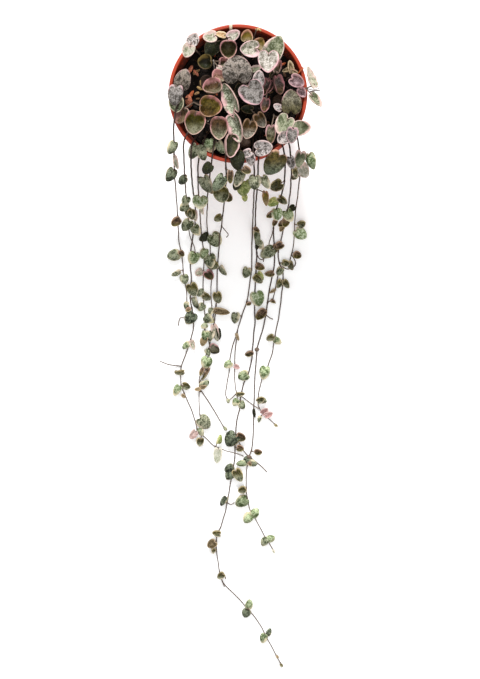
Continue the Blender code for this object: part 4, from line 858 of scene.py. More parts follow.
def leaf_skin(name, cell_scale, roughness):
    """Marbled green, silver and cream skin with a blushed margin, coloured by the leaf's fields."""
    g = Graph(name)
    across, along, seed = g.split(g.attribute("leaf_mm"))
    edge, share, under = g.split(g.attribute("leaf_form"))
    rim_width, marbling = g.attribute("leaf_rim_width", "Fac"), g.attribute("leaf_marbling", "Fac")
    dark, light, rim, underside = (g.attribute(f"leaf_{part}", "Color")
                                   for part in ("dark", "light", "rim", "under"))
    spot = g.join(across, along, seed)

    # Silver cells between dark veins: the cells come and go in patches, over a speckle.
    patches = g.ramp(g.noise(spot, 0.28, 3.0, 0.6, 0.8), 0.34, 0.62)
    warped = g.math("ADD", spot, g.noise(spot, 0.7, 3.0, output="Color"),
                    kind="ShaderNodeVectorMath")
    veins = g.ramp(g.cells(warped, cell_scale, "DISTANCE_TO_EDGE"), 0.02, 0.22, 1.0, 0.0)
    speckle = g.noise(spot, 1.7, 4.0, 0.65)
    silver = g.line(patches, 0.9, g.times(veins, -0.55))
    silver = g.add(silver, g.line(speckle, 1.5, -0.55))
    silver = g.clamp(g.line(g.less(silver, 0.5), marbling, 0.5))
    colour = g.mix(silver, dark, light)
    glints = g.times(g.ramp(speckle, 0.6, 0.7), g.times(patches, marbling))
    colour = g.tint(colour, glints, 0.55, tone("leaf glint"))

    # A pale midrib that fades towards the tip, and side veins that leave it at a slant.
    off_rib = g.math("ABSOLUTE", across)
    rib = g.times(g.ramp(off_rib, 0.14, 0.5, 1.0, 0.0), g.ramp(share, 0.35, 0.95, 1.0, 0.0))
    slant = g.less(along, g.times(off_rib, 0.9))
    ladder = g.math("SINE", g.line(slant, 2.2, g.times(speckle, 2.0)))
    side_veins = g.times(g.ramp(ladder, 0.8, 1.0), g.ramp(off_rib, 0.3, 0.9))
    colour = g.tint(colour, rib, 0.6, light)
    colour = g.tint(colour, side_veins, 0.2, light)

    # The blushed margin comes and goes round the leaf, and its inner edge wanders.
    wander = g.line(g.noise(spot, 0.4), 1.8, -0.9)
    inwards = g.math("DIVIDE", g.line(wander, rim_width, edge), g.times(rim_width, 1.6))
    band = g.ramp(inwards, 0.15, 1.15, 1.0, 0.0)
    stretches = g.ramp(g.noise(spot, 0.11, 1.0), 0.36, 0.5, 0.3, 1.0)
    margin = g.math("MAXIMUM", g.times(band, stretches), g.ramp(edge, 0.05, 0.4, 0.25, 0.0))
    colour = g.mix(margin, colour, rim)

    # The underside is plainer, with a weak copy of the upper face's marbling.
    underside = g.tint(underside, silver, 0.35, light)
    underside = g.tint(underside, g.ramp(patches, 0.3, 0.8, 1.0, 0.0), 0.45, dark)
    underside = g.tint(underside, veins, 0.3, light)
    underside = g.tint(underside, margin, 0.5, rim)
    colour = g.mix(g.ramp(under, 0.45, 0.75), colour, underside)

    height = g.line(veins, -0.8, g.times(speckle, 0.8))
    height = g.less(height, g.line(side_veins, 0.5, rib))
    gloss = g.line(speckle, 0.25, roughness)
    skin = g.surface(colour, gloss, g.bump(height, 0.6, 0.14), specular=0.25)
    through = g.mix(0.5, colour, tone("light through a leaf"))
    glow = g.node("ShaderNodeBsdfTranslucent", Color=through).outputs[0]
    blend = g.node("ShaderNodeMixShader", Fac=LIGHT_THROUGH)
    g.put(blend.inputs[1], skin)
    g.put(blend.inputs[2], glow)
    return g.finish(blend.outputs[0])


def stem_skin():
    """A wiry stem: brown at its foot, greyer at its tip, mottled and finely ridged along."""
    g = Graph("stem_skin")
    place_mm = g.attribute("stem_mm")
    along, turn, seed = g.split(place_mm)
    mottle = g.noise(g.join(g.times(along, 0.35), turn, seed), 0.8, 3.0, 0.6)
    share = g.line(mottle, 0.7, g.less(g.attribute("stem_age", "Fac"), 0.35))
    colour = g.mix(g.clamp(share), tone("old stem"), tone("young stem"))
    ridges = g.noise(g.stretch(place_mm, 0.3, 2.5, 1.0), 1.2)
    gloss = g.line(mottle, 0.3, 0.45)
    return g.finish(g.surface(colour, gloss, g.bump(ridges, 0.5, 0.1), specular=0.2))


def pot_skin():
    """Moulded terracotta plastic: turning lines, scuffs, dusty with soil low down and inside, with
    painted shade inside too.
    """
    g = Graph("pot_plastic")
    spot = g.object_mm()
    z = g.split(spot)[2]
    cloud = g.noise(spot, 0.05, 4.0, 0.6)
    grain = g.noise(spot, 2.2, 3.0, 0.6)
    lines = g.noise(g.stretch(spot, 0.02, 0.02, 1.6), 1.0, 3.0, 0.7)
    colour = g.mix(cloud, tone("pot"), tone("pot clouds"))
    colour = g.tint(colour, g.ramp(grain, 0.5, 0.8), 0.35, tone("pot grain"))
    scratches = g.ramp(g.noise(g.stretch(spot, 0.5, 0.5, 0.06), 0.9, 3.0, 0.7, 1.5), 0.66, 0.74)
    colour = g.tint(colour, scratches, 0.3, tone("pot scratches"))

    # What lies inside the middle of the wall darkens near the soil, dusty and in painted shade, and
    # the pot's foot is dusty.
    reach = g.math("LENGTH", g.stretch(spot, 1.0, 1.0, 0.0), kind="ShaderNodeVectorMath",
                   output="Value")
    slope = (RIM_RADIUS - COLLAR_STEP - LIP_OVERHANG - BASE_RADIUS) / POT_HEIGHT
    collar_foot = POT_HEIGHT - COLLAR_HEIGHT
    collar = g.ramp(z, collar_foot - 0.6, collar_foot + 0.6, 0.0, COLLAR_STEP - 0.2)
    wall = g.add(g.line(z, slope, BASE_RADIUS - WALL / 2), collar)
    inside = g.ramp(g.less(wall, reach), -0.3, 0.3)
    low = g.ramp(z, SOIL_TOP + 4.0, SOIL_TOP + 13.0, 1.0, 0.15)
    crust_and_painted_shade = g.ramp(g.noise(spot, 0.35, 5.0, 0.65), 0.25, 0.55)
    foot = g.times(g.ramp(z, 1.0, 12.0, 0.7, 0.0), g.ramp(g.noise(spot, 0.12, 5.0), 0.45, 0.7))
    dust_and_painted_shade = g.math("MAXIMUM", g.times(inside, g.times(low, crust_and_painted_shade)), foot)
    colour = g.tint(colour, dust_and_painted_shade, 0.85, tone("soil dust"))

    height = g.line(lines, 0.5, g.line(grain, 0.35, dust_and_painted_shade))
    gloss = g.line(grain, 0.22, g.line(dust_and_painted_shade, 0.35, 0.3))
    return g.finish(g.surface(colour, gloss, g.bump(height, 0.5, 0.12), specular=0.4))


def soil_skin():
    """Damp dark compost, darker still as painted shade: crumbs of several sizes, a few fibres, pale
    grains.
    """
    g = Graph("soil")
    spot = g.object_mm()
    clods = g.noise(spot, 0.16, 5.0, 0.62)
    crumbs = g.noise(spot, 0.9, 6.0, 0.68)
    fibres = g.noise(g.stretch(spot, 1.0, 0.2, 0.6), 1.6, 2.0, 0.5, 2.5)
    grains = g.cells(spot, 0.42)
    colour = g.mix(g.ramp(crumbs, 0.3, 0.72), tone("soil"), tone("crumbs"))
    colour = g.tint(colour, g.ramp(clods, 0.5, 0.75), 0.4, tone("clods"))
    colour = g.tint(colour, g.ramp(fibres, 0.68, 0.74), 0.6, tone("soil fibres"))
    colour = g.tint(colour, g.ramp(grains, 0.1, 0.16, 1.0, 0.0), 0.5, tone("soil grains"))
    height = g.add(crumbs, g.times(clods, 0.6))
    gloss = g.line(crumbs, 0.25, 0.7)
    return g.finish(g.surface(colour, gloss, g.bump(height, 0.8, 0.6), specular=0.15))


def bits_skin():
    """Bark, perlite, dried leaves and fibres, each in the colour that its own field gives."""
    g = Graph("soil_bits")
    spot = g.object_mm()
    grain = g.noise(spot, 1.6, 5.0, 0.65)
    colour = g.tint(g.attribute("bit_colour", "Color"), g.ramp(grain, 0.62, 0.4), 0.7,
                    tone("bit grain"))
    height = g.add(grain, g.noise(g.stretch(spot, 3.0, 0.5, 2.0), 0.9, 3.0))
    gloss = g.line(grain, 0.3, 0.6)
    return g.finish(g.surface(colour, gloss, g.bump(height, 0.7, 0.3), specular=0.3))


def corm_skin():
    """A tuber's papery skin: tan and pinkish brown, with pores and scaly wrinkles."""
    g = Graph("corm")
    spot = g.object_mm()
    cloud = g.noise(spot, 0.25, 4.0, 0.6)
    scales = g.cells(g.stretch(spot, 1.0, 1.0, 2.2), 0.5, "DISTANCE_TO_EDGE")
    pores = g.ramp(g.cells(spot, 0.9), 0.12, 0.2, 1.0, 0.0)
    colour = g.mix(cloud, tone("corm"), tone("corm clouds"))
    colour = g.mix(g.ramp(scales, 0.0, 0.08, 0.6, 0.0), colour, tone("corm wrinkles"))
    colour = g.tint(colour, pores, 0.4, tone("corm pores"))
    height = g.less(g.ramp(scales, 0.0, 0.12), g.times(pores, 0.4))
    return g.finish(g.surface(colour, g.line(cloud, 0.25, 0.5), g.bump(height, 0.6, 0.3)))


def floor_skin():
    """White paper that glows a little, as an overexposed background does."""
    g = Graph("studio_floor")
    grain = g.noise(g.object_mm(), 0.4, 3.0)
    colour = g.mix(grain, tone("floor"), tone("floor clouds"))
    return g.finish(g.surface(colour, 0.85, specular=0.1, glow=FLOOR_GLOW))


# --- Routes and frames, as in the CAD model -----------------------------------------------------


def travelled(line):
    """How far along a line each of its points is."""
    return np.concatenate([[0], np.cumsum(np.linalg.norm(np.diff(line, axis=0), axis=1))])


def spaced(line, count):
    """The same line with this many points, evenly spaced."""
    travel = travelled(line)
    marks = np.linspace(0, travel[-1], count)
    return np.column_stack([np.interp(marks, travel, column) for column in line.T])


def catmull_rom(before, points, after):
    """A smooth line through the points. The two others only steer its ends."""
    knots = np.vstack([before, points, after])
    first, start, end, last = (knots[offset:len(knots) - 3 + offset, None] for offset in range(4))
    t = np.linspace(0, 1, ROUTE_STEPS, endpoint=False)[None, :, None]
    curve = 0.5 * (2 * start + (end - first) * t + (2 * first - 5 * start + 4 * end - last) * t**2
                   + (3 * start - first - 3 * end + last) * t**3)
    return np.vstack([curve.reshape(-1, knots.shape[1]), knots[-2]])


def smooth_route(points, spacing):
    """A smooth line through the points, with its own points about this far apart."""
    points = np.asarray(points, float)
    line = catmull_rom(2 * points[0] - points[1], points, 2 * points[-1] - points[-2])
    return spaced(line, max(2, round(travelled(line)[-1] / spacing) + 1))


def leaf_frame(heading, pitch, roll):
    """Columns: the leaf's right-hand side, its tip's direction and its upper face's normal."""
    heading, pitch, roll = (math.radians(angle) for angle in (heading, pitch, roll))
    tip = Vector((math.sin(heading) * math.cos(pitch), math.cos(heading) * math.cos(pitch),
                  math.sin(pitch)))
    level = Vector((math.cos(heading), -math.sin(heading), 0))
    normal = level.cross(tip)
    right = level * math.cos(roll) - normal * math.sin(roll)
    return np.array((right, tip, level * math.sin(roll) + normal * math.cos(roll))).T


def arch_height(y, rim, landing):
    """How high a vine is at y, on its way from the pot's rim down to the surface."""
    share = min(max((rim - y) / (rim - landing), 0), 1)
    return STEM_LIES + (OVER_RIM - STEM_LIES) * (1 + math.cos(math.pi * share)) / 2


def with_heights(points, vine):
    """Gives each point without a height the one that it has on the arch or on the surface."""
    return [p if len(p) == 3 else (*p, arch_height(p[1], vine["rim"], vine["landing"]))
            for p in points]


def nearest(route, point):
    """The point of a route that is nearest to this one."""
    return route[np.linalg.norm(route - point, axis=1).argmin()]


def nearest_beside(route, x, y):
    """The same, as seen from above."""
    return route[np.hypot(route[:, 0] - x, route[:, 1] - y).argmin()]


def soil_height(x, y):
    """The soil's top: a low mound towards the middle, with soft lumps."""
    reach = math.hypot(x, y) / RIM_RADIUS
    lumps = math.sin(0.31 * x + 1.3) * math.cos(0.27 * y - 0.4) + 0.5 * math.sin(0.6 * (x + y))
    return SOIL_TOP + SOIL_MOUND * (1 - reach * reach) + SOIL_ROUGHNESS * lumps - SOIL_SINK


def on_soil(x, y, above=0.0):
    return np.array((x, y, soil_height(x, y) + above))


# --- Tubes, lumps and leaves --------------------------------------------------------------------


def normalised(vectors):
    return vectors / np.linalg.norm(vectors, axis=-1, keepdims=True)


def ring_faces(rings, sides, inwards=False):
    """Faces over rings of points that lie between a first and a last single point."""
    faces = []
    last = 1 + (rings - 1) * sides
    for step in range(sides):
        after = (step + 1) % sides
        faces.append((0, 1 + after, 1 + step))
        for low in range(1, last, sides):
            high = low + sides
            faces.append((low + step, low + after, high + after, high + step))
        faces.append((last + step, last + after, last + sides))
    return [(face[0], *face[:0:-1]) for face in faces] if inwards else faces


def tube(route, radii, sides):
    """A round tube along the route, closed at both ends: vertices and faces."""
    tangents = normalised(np.gradient(route, axis=0))
    side = np.cross(tangents[0], TUBE_START)
    turns = 2 * math.pi * np.arange(sides) / sides
    rings = []
    for middle, tangent, radius in zip(route, tangents, radii):
        side = side - tangent * side.dot(tangent)
        side /= np.linalg.norm(side)
        ring = np.outer(np.cos(turns), side) + np.outer(np.sin(turns), np.cross(tangent, side))
        rings.append(middle + radius * ring)
    return np.vstack([route[:1], *rings, route[-1:]]), ring_faces(len(route), sides)


def add_stem(pile, route, radii, sides, ages, seed):
    """A stem that keeps its distance along, its turn and its age for the material."""
    route, radii = np.array(route, float), np.broadcast_to(radii, len(route))
    route[:, 2] = np.maximum(route[:, 2], radii + SURFACE_GAP)

    def spread(values):
        return np.concatenate([values[:1], np.repeat(values, sides), values[-1:]])

    turns = np.concatenate([[0], np.tile(TURN_MM * np.arange(sides) / sides, len(route)), [0]])
    along, age = spread(travelled(route)), spread(np.linspace(*ages, len(route)))
    vertices, faces = tube(route, radii, sides)
    pile.add(vertices, faces, stem_age=age,
             stem_mm=np.column_stack([along, turns, np.full(len(along), seed)]))


def add_stalk(pile, start, notch, underside, radius, rise, ages, seed):
    """A leaf stalk: bowed from the stem to the notch, then a little way under the blade."""
    middle = (start + notch) / 2 + (0, 0, rise)
    inside = notch + (underside - notch) * STALK_UNDER
    route = smooth_route([start, middle, notch, inside], STALK_STEP)
    add_stem(pile, route, radius, STALK_SIDES, ages, seed)


def ball(detail):
    """An icosphere of radius 1 as plain vertices and faces."""
    bm = bmesh.new()
    bmesh.ops.create_icosphere(bm, subdivisions=detail, radius=1)
    bm.verts.index_update()
    vertices = np.array([vert.co for vert in bm.verts])
    faces = [tuple(vert.index for vert in face.verts) for face in bm.faces]
    bm.free()
    return vertices, faces


def lump(centre, sizes, turn, surface):
    """An irregular ball: stretched to its three sizes, roughened by noise, then turned."""
    detail, roughness, grain = surface
    vertices, faces = ball(detail)
    shift = Vector(centre) * LUMP_SHIFT
    swell = [1 + roughness * noise.noise(Vector(vertex) * grain + shift) for vertex in vertices]
    shaped = vertices * np.array(swell)[:, None] * np.asarray(sizes)
    return shaped @ np.array(turn).T + np.asarray(centre), faces


def leaf_outline(outline, length, width, segments):
    """Points evenly spaced round a leaf from its notch: up the right-hand side, down the left."""
    half = np.array(outline) * (width, length)
    mirrored = half[-2] * (-1, 1)
    straight = 2 * half[-1] - half[-2]
    line = catmull_rom(2 * half[0] - half[1], half, mirrored + TIP_POINT * (straight - mirrored))
    right = spaced(line, segments // 2 + 1)
    return np.vstack([right, right[-2:0:-1] * (-1, 1)])


def leaf_blade(length, width, form, kind, dice):
    """The blade's middle surface, ring by ring from its middle out.

    Also gives where each point lies on the flat leaf, and how far it is from the margin.
    """
    cup, fold, curl = form
    outline = leaf_outline(BOWL if cup > BOWL_CUP else HEART, length, width, kind["segments"])
    outline[:, 0] *= 1 + LEAF_UNEVEN * dice.uniform(-1, 1) * np.sign(outline[:, 0])
    middle = np.array((0, LEAF_MIDDLE * length))
    reach = np.array(kind["rings"])[:, None]
    flat = middle + reach[..., None] * (outline - middle)
    x, y = flat[..., 0], flat[..., 1] - middle[1]
    bearing = np.arctan2(x, y)
    ripple = sum(dice.uniform(-1, 1) * np.sin(order * bearing + dice.uniform(*ANY_PHASE))
                 for order in RIPPLES)
    height = (cup * width * reach**CUP_POWER
              + fold * (np.hypot(x, RIB_ROUND) - RIB_ROUND)
              - curl * 2 * y**2 / length * (y > 0)
              + kind["ripple"] * width * ripple * reach**2
              + kind["lip"] * np.clip(cup / LIP_CUP, 0, 1) * reach**LIP_POWER)
    pull = 1 - CUP_PULL * abs(cup) * reach**2
    surface = np.stack([x * pull, middle[1] + y * pull, height], axis=-1)
    return surface, flat, np.linalg.norm(outline - middle, axis=1) * (1 - reach)


def leaf_solid(length, width, form, kind, dice):
    """A leaf with its notch at the origin: points, faces, places on the flat leaf, and leaf_form.

    The points run over the upper face from its middle out, and back over the lower one.
    """
    surface, flat, to_margin = leaf_blade(length, width, form, kind, dice)
    rings, segments = surface.shape[:2]
    outwards = np.gradient(surface, axis=0)
    onwards = np.roll(surface, -1, axis=1) - np.roll(surface, 1, axis=1)
    # The tiny number keeps a normal from being zero. All normals end up upwards.
    normals = normalised(np.cross(outwards, onwards) + (0, 0, 1e-6))
    normals *= np.where(normals[..., 2:3] < 0, -1, 1)
    normals[0] = normalised(normals[1].mean(axis=0))
    thinning = np.sqrt(1 - np.array(kind["rings"])**MARGIN_POWER)[:, None, None]
    half = 0.5 * kind["thickness"] * thinning
    upper, lower = surface + normals * half, surface - normals * half
    points = np.vstack([upper[0, :1], *upper[1:], *lower[-2:0:-1], lower[0, :1]])

    rows = [*range(1, rings), *range(rings - 2, 0, -1)]
    centre = flat[0, :1]
    places = np.vstack([centre, *flat[rows], centre])
    to_margin = np.concatenate([to_margin[0, :1], *to_margin[rows], to_margin[0, :1]])
    sides = [0.0] * (rings - 2) + [0.5] + [1.0] * (rings - 2)
    under = np.concatenate([[0], np.repeat(sides, segments), [1]])
    leaf_form = np.column_stack([to_margin, places[:, 1] / length, under])
    return points, ring_faces(len(rows), segments, inwards=True), places, leaf_form


def look_colours(look):
    """The linear colours of a look: dark, light, margin and underside."""
    return [np.array(srgb(*levels)) for levels in LOOKS[look][:4]]


def add_leaf(pile, centre, pose, size, look, form, kind, dice, on_surface=False):
    """Adds one leaf. Gives its notch, and where its stalk runs in under the blade.

    pose is heading, pitch and roll, size is length and width, and form is cup, fold and curl, then
    the heading that the margin blushes towards: +Y if it is left out.
    """
    axes, length = leaf_frame(*pose), size[0]
    *bends, blush = (*form, 0)[:4]
    points, faces, places, leaf_form = leaf_solid(*size, bends, kind, dice)
    points = np.asarray(centre) + (points - (0, length / 2, 0)) @ axes.T
    if on_surface:
        points[:, 2] += max(0.0, SURFACE_GAP - points[:, 2].min())
    seed = dice.uniform(*LEAF_SEEDS)
    shade = dice.uniform(*kind["shades"])

    # The margin blushes on one side of the leaf, and the other side takes the far look, painted
    # light and shade.
    outwards = (places - (0, LEAF_MIDDLE * length)) @ axes[:, :2].T
    towards = outwards @ (math.sin(math.radians(blush)), math.cos(math.radians(blush)), 0)
    blushed = np.clip(towards / (np.linalg.norm(outwards, axis=1) + 1e-6), 0, 1)
    far = np.clip(FAR_START - towards / (FAR_SPAN * length), 0, 1)[:, None]
    # Painted light and shade: a leaf that bends down is made brighter towards +Y, where the key
    # lamp stands, and darker on its other side.
    if bends[0] < 0:
        shade = shade * (1 + kind["sun"] * np.clip(outwards[:, 1:2] / (SUN_SPAN * length), -1, 1))
    near, away = look_colours(look), look_colours(PAINTED_LIGHT_FAR_LOOKS.get(look, look))
    dark, light, rim, _ = ((1 - far) * here + far * there for here, there in zip(near, away))
    rim_width, marbling = LOOKS[look][4:]
    pile.add(points, faces, leaf_form=leaf_form,
             leaf_mm=np.column_stack([places, np.full(len(points), seed)]),
             leaf_rim_width=rim_width * (RIM_LEAST + RIM_BLUSH * blushed),
             leaf_marbling=[marbling] * len(points),
             leaf_dark=shade * dark, leaf_light=shade * light, leaf_rim=rim,
             leaf_under=[near[3]] * len(points))
    rings, segments = len(kind["rings"]), kind["segments"]
    return points[1 + (rings - 2) * segments], points[1 + (2 * rings - 5) * segments]


# --- Pieces -------------------------------------------------------------------------------------


def build_stem_route(points, radius, dice):
    """A stem's route with the small bends that a real one has, and its radius at each point."""
    route = smooth_route(points, STEM_STEP)
    along = np.arange(len(route)) * STEM_STEP
    free = np.clip(np.minimum(along, along[::-1]) / WIGGLE_EASE, 0, 1)
    for axis, size in enumerate(WIGGLES):
        bend = sum(math.sin(dice.uniform(*ANY_PHASE))
                   * np.sin(along / wave + dice.uniform(*ANY_PHASE)) for wave in WIGGLE_WAVES)
        route[:, axis] += size * bend * free
    lying = np.clip((SETTLES_BELOW - route[:, 2]) / SETTLES_OVER, 0, 1)
    radii = np.linspace(radius, TIP_RADIUS, len(route))
    route[:, 2] = np.maximum(route[:, 2] - STEM_SETTLES * lying, radii + SURFACE_GAP)
    return route, radii


def swollen(route, radii, nodes):
    """The radii with a swelling at each node, where a leaf stalk leaves the stem."""
    radii = radii.copy()
    for node in nodes:
        gap = np.linalg.norm(route - node, axis=1)
        radii += NODE_SWELLING * radii * np.exp(-(gap / NODE_LENGTH)**2)
    return np.minimum(radii, MOST_SWOLLEN)


def add_knot(pile, centre, seed):
    """A bead-like tuber on a stem."""
    turn = Matrix.Rotation(seed, 3, "Z")
    vertices, faces = lump(centre, KNOT_SIZES, turn, KNOT_SURFACE)
    vertices[:, 2] += max(0.0, SURFACE_GAP - vertices[:, 2].min())
    pile.add(vertices, faces, stem_age=[KNOT_AGE] * len(vertices),
             stem_mm=[(x, y, seed) for x, y, _ in vertices])


def build_vine(name, vine, stem_material, leaf_material):
    """A vine in two pieces: its stem with side stems, stalks, twigs and tubers, and its leaves."""
    dice = random.Random(name)
    seed = dice.uniform(*STEM_SEEDS)
    stems, leaves = Pile(), Pile()
    points = with_heights(vine["route"], vine)
    foot = (points[0][0], points[0][1], points[0][2] - ROOT_DEPTH)
    routes = [build_stem_route([foot, *points], STEM_RADIUS, dice)]
    for branch in vine.get("branches", []):
        start, *others = with_heights(branch, vine)
        branch_points = [nearest_beside(routes[0][0], start[0], start[1]), *others]
        routes.append(build_stem_route(branch_points, BRANCH_RADIUS, dice))
    whole = np.vstack([route for route, _ in routes])
    nodes = []
    for x, y, length, width, *pose, look in vine["leaves"]:
        to_tip = leaf_frame(*pose)[:, 1] * length / 2
        beside = nearest_beside(whole, x - to_tip[0], y - to_tip[1])
        cup, fold = VINE_FORMS[look]
        blush = 0 if look in PAINTED_LIGHT_FAR_LOOKS or cup > 0 else dice.uniform(0, 360)
        form = (cup * dice.uniform(*CUP_RANGE), fold * dice.uniform(*FOLD_RANGE),
                dice.uniform(*CURL_RANGE), blush)
        notch, underside = add_leaf(leaves, (x, y, beside[2] + LEAF_OVER_STEM), pose,
                                    (length, width), look, form, VINE_LEAF, dice, on_surface=True)
        nodes.append(nearest(whole, notch))
        add_stalk(stems, nodes[-1], notch, underside, PETIOLE_RADIUS, dice.uniform(*STALK_RISE),
                  STALK_AGES, seed)
    for (x, y), *others in vine.get("twigs", []):
        nodes.append(nearest_beside(whole, x, y))
        height = nodes[-1][2] + TWIG_LIFT
        route = smooth_route([nodes[-1], *[(*other, height) for other in others]], STALK_STEP)
        add_stem(stems, route, PETIOLE_RADIUS, STALK_SIDES, TWIG_AGES, seed)
    for number, (route, radii) in enumerate(routes):
        add_stem(stems, route, swollen(route, radii, nodes), STEM_SIDES,
                 BRANCH_AGES if number else STEM_AGES, seed)
    for x, y in vine.get("knots", []):
        add_knot(stems, nearest_beside(routes[0][0], x, y) + (0, 0, KNOT_LIFT), seed)
    place(stems.build(f"{name}_stem", stem_material), "vine", name)
    place(leaves.build(f"{name}_leaves", leaf_material), "vine", name)


def build_sprig(name, sprig, stem_material, leaf_material):
    """A sprig in two pieces: its shoot with its stalks and twig, and its leaves."""
    dice = random.Random(name)
    seed = dice.uniform(*STEM_SEEDS)
    stems, leaves = Pile(), Pile()
    foot = on_soil(*sprig["foot"], -ROOT_DEPTH)
    node = np.array(sprig["node"], float)
    bend = foot + (node - foot) * SPRIG_BEND
    route = smooth_route([foot, bend, node], STALK_STEP)
    radii = np.linspace(STEM_RADIUS, STEM_RADIUS * SPRIG_TAPER, len(route))
    add_stem(stems, route, swollen(route, radii, [node]), STEM_SIDES, SPRIG_AGES, seed)
    if "twig" in sprig:
        twig = smooth_route([node, *sprig["twig"]], STALK_STEP)
        radii = np.linspace(TIP_RADIUS, TIP_RADIUS * TWIG_TAPER, len(twig))
        add_stem(stems, twig, radii, STALK_SIDES, CROWN_TWIG_AGES, seed)
    for x, y, z, length, width, heading, pitch, roll, look, *form in sprig["leaves"]:
        notch, underside = add_leaf(leaves, (x, y, z), (heading, pitch, roll), (length, width),
                                    look, form, CROWN_LEAF, dice)
        add_stalk(stems, node, notch, underside, CROWN_PETIOLE_RADIUS,
                  dice.uniform(*CROWN_STALK_RISE), CROWN_STALK_AGES, seed)
    place(stems.build(f"{name}_stem", stem_material), "crown_leaf", name)
    place(leaves.build(f"{name}_leaves", leaf_material), "crown_leaf", name)


def circle(radius, height, sides):
    """Points evenly spaced round a level circle about the pot's axis."""
    turns = 2 * math.pi * np.arange(sides) / sides
    return [(radius * math.cos(turn), radius * math.sin(turn), height) for turn in turns]


def arc(middle, radius, start, end, steps):
    """Points on an arc as (radius, height), from one angle to another in degrees."""
    angles = np.radians(np.linspace(start, end, steps))
    return [(middle[0] + radius * math.cos(a), middle[1] + radius * math.sin(a)) for a in angles]


def straight(start, end, shares):
    """Points at these shares of the way along a straight run."""
    return [(start[0] + (end[0] - start[0]) * share, start[1] + (end[1] - start[1]) * share)
            for share in shares]


def pot_profile():
    """The wall's section as (radius, height), once round: outside going up, inside going down."""
    collar_foot = POT_HEIGHT - COLLAR_HEIGHT
    rise = collar_foot / POT_HEIGHT
    wall_top = BASE_RADIUS + (RIM_RADIUS - COLLAR_STEP - LIP_OVERHANG - BASE_RADIUS) * rise
    collar_top = RIM_RADIUS - LIP_OVERHANG
    inner_rim = RIM_RADIUS - LIP_WIDTH
    lip_low, lip_top = POT_HEIGHT - LIP_DEPTH, POT_HEIGHT - LIP_ROUND
    wall_end = collar_foot + WALL_END
    floor_round = FLOOR_THICKNESS + FLOOR_ROUND
    inside = BASE_RADIUS - WALL
    return [
        (0, 0), *[(BASE_RADIUS - inwards, height) for inwards, height in FOOT_GROOVE],
        (BASE_RADIUS - FOOT_ROUND, 0),
        *arc((BASE_RADIUS - FOOT_ROUND, FOOT_ROUND), FOOT_ROUND, -80, -10, 5),
        *straight((BASE_RADIUS, FOOT_ROUND), (wall_top, wall_end), np.linspace(0.05, 0.98, 9)),
        *[(wall_top + across, collar_foot + up) for across, up in COLLAR_OUTSIDE],
        *arc((wall_top + COLLAR_STEP - COLLAR_CORNER, collar_foot + 0.1), COLLAR_CORNER, -60, 0, 4),
        (collar_top, lip_low - 0.25), (collar_top + 0.2, lip_low),
        *arc((RIM_RADIUS - LIP_CORNER, lip_low + LIP_CORNER), LIP_CORNER, -75, 0, 4),
        *arc((RIM_RADIUS - LIP_ROUND, lip_top), LIP_ROUND, 5, 90, 6),
        *arc((inner_rim + LIP_ROUND, lip_top), LIP_ROUND, 95, 180, 6),
        (inner_rim, lip_low),
        *[(wall_top + across, collar_foot + up) for across, up in COLLAR_INSIDE],
        (wall_top - WALL, wall_end),
        *straight((inside, floor_round), (wall_top - WALL, wall_end), np.linspace(0.9, 0, 5)),
        *arc((inside - FLOOR_ROUND, floor_round), FLOOR_ROUND, -10, -80, 4),
        (0, FLOOR_THICKNESS),
    ]


def drain_cutter(number, material):
    """A rod that cuts a drain hole, with the material that the hole's wall takes."""
    bm = bmesh.new()
    bmesh.ops.create_cone(bm, cap_ends=True, segments=DRAIN_SIDES, radius1=DRAIN_RADIUS * MM,
                          radius2=DRAIN_RADIUS * MM, depth=4 * FLOOR_THICKNESS * MM)
    mesh = bpy.data.meshes.new("drain_cutter")
    bm.to_mesh(mesh)
    bm.free()
    mesh.materials.append(material)
    cutter = add_object(f"drain_cutter_{number}", mesh)
    angle = 2 * math.pi * (number - 0.5) / DRAIN_HOLES
    cutter.location = Vector((math.cos(angle), math.sin(angle), 0)) * DRAIN_CIRCLE * MM
    cutter.hide_render = True
    cutter.display_type = "WIRE"
    return cutter


def build_pot():
    """The pot: its wall's section turned about the axis, with drain holes cut through its base."""
    first, *profile, last = pot_profile()
    pile = Pile()
    rings = [point for radius, height in profile for point in circle(radius, height, POT_SEGMENTS)]
    pile.add([(0, *first), *rings, (0, *last)], ring_faces(len(profile), POT_SEGMENTS))
    material = pot_skin()
    pot = pile.build("pot_shell", material)
    for number in range(1, DRAIN_HOLES + 1):
        cut = pot.modifiers.new(f"drain_{number}", "BOOLEAN")
        cut.operation = "DIFFERENCE"
        cut.object = drain_cutter(number, material)
    place(pot, "pot_plastic", "pot")


def build_soil():
    """Soil with crumbs on top, down to the pot's floor, just inside the wall."""
    low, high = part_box("soil")
    bottom, edge = low[2] / MM, high[0] / MM
    slope = (RIM_RADIUS - BASE_RADIUS) / POT_HEIGHT
    foot = BASE_RADIUS - WALL - SOIL_CLEAR + SOIL_FOOT * slope
    points = [(0, 0, bottom)]
    for radius, height in ((foot - SOIL_BEVEL, bottom), (foot, bottom + SOIL_BEVEL),
                           (edge, SOIL_TOP - SOIL_MOUND)):
        points += circle(radius, height, SOIL_SEGMENTS)
    for share in 1 - np.arange(SOIL_RINGS) / SOIL_RINGS:
        for x, y, _ in circle((edge - SOIL_EDGE) * share, 0, SOIL_SEGMENTS):
            crumbs = sum(height * noise.noise(Vector((x, y, layer)) * fineness)
                         for height, layer, fineness in CRUMBS)
            points.append((x, y, soil_height(x, y) + crumbs))
    points.append((0, 0, soil_height(0, 0)))
    pile = Pile()
    pile.add(points, ring_faces(SOIL_RINGS + 3, SOIL_SEGMENTS))
    place(pile.build("soil_bed", soil_skin()), "soil", "soil")


def add_bit(pile, centre, sizes, turn, colour, surface=BIT_SURFACE):
    vertices, faces = lump(centre, sizes, turn, surface)
    pile.add(vertices, faces, bit_colour=[tone(colour)] * len(vertices))


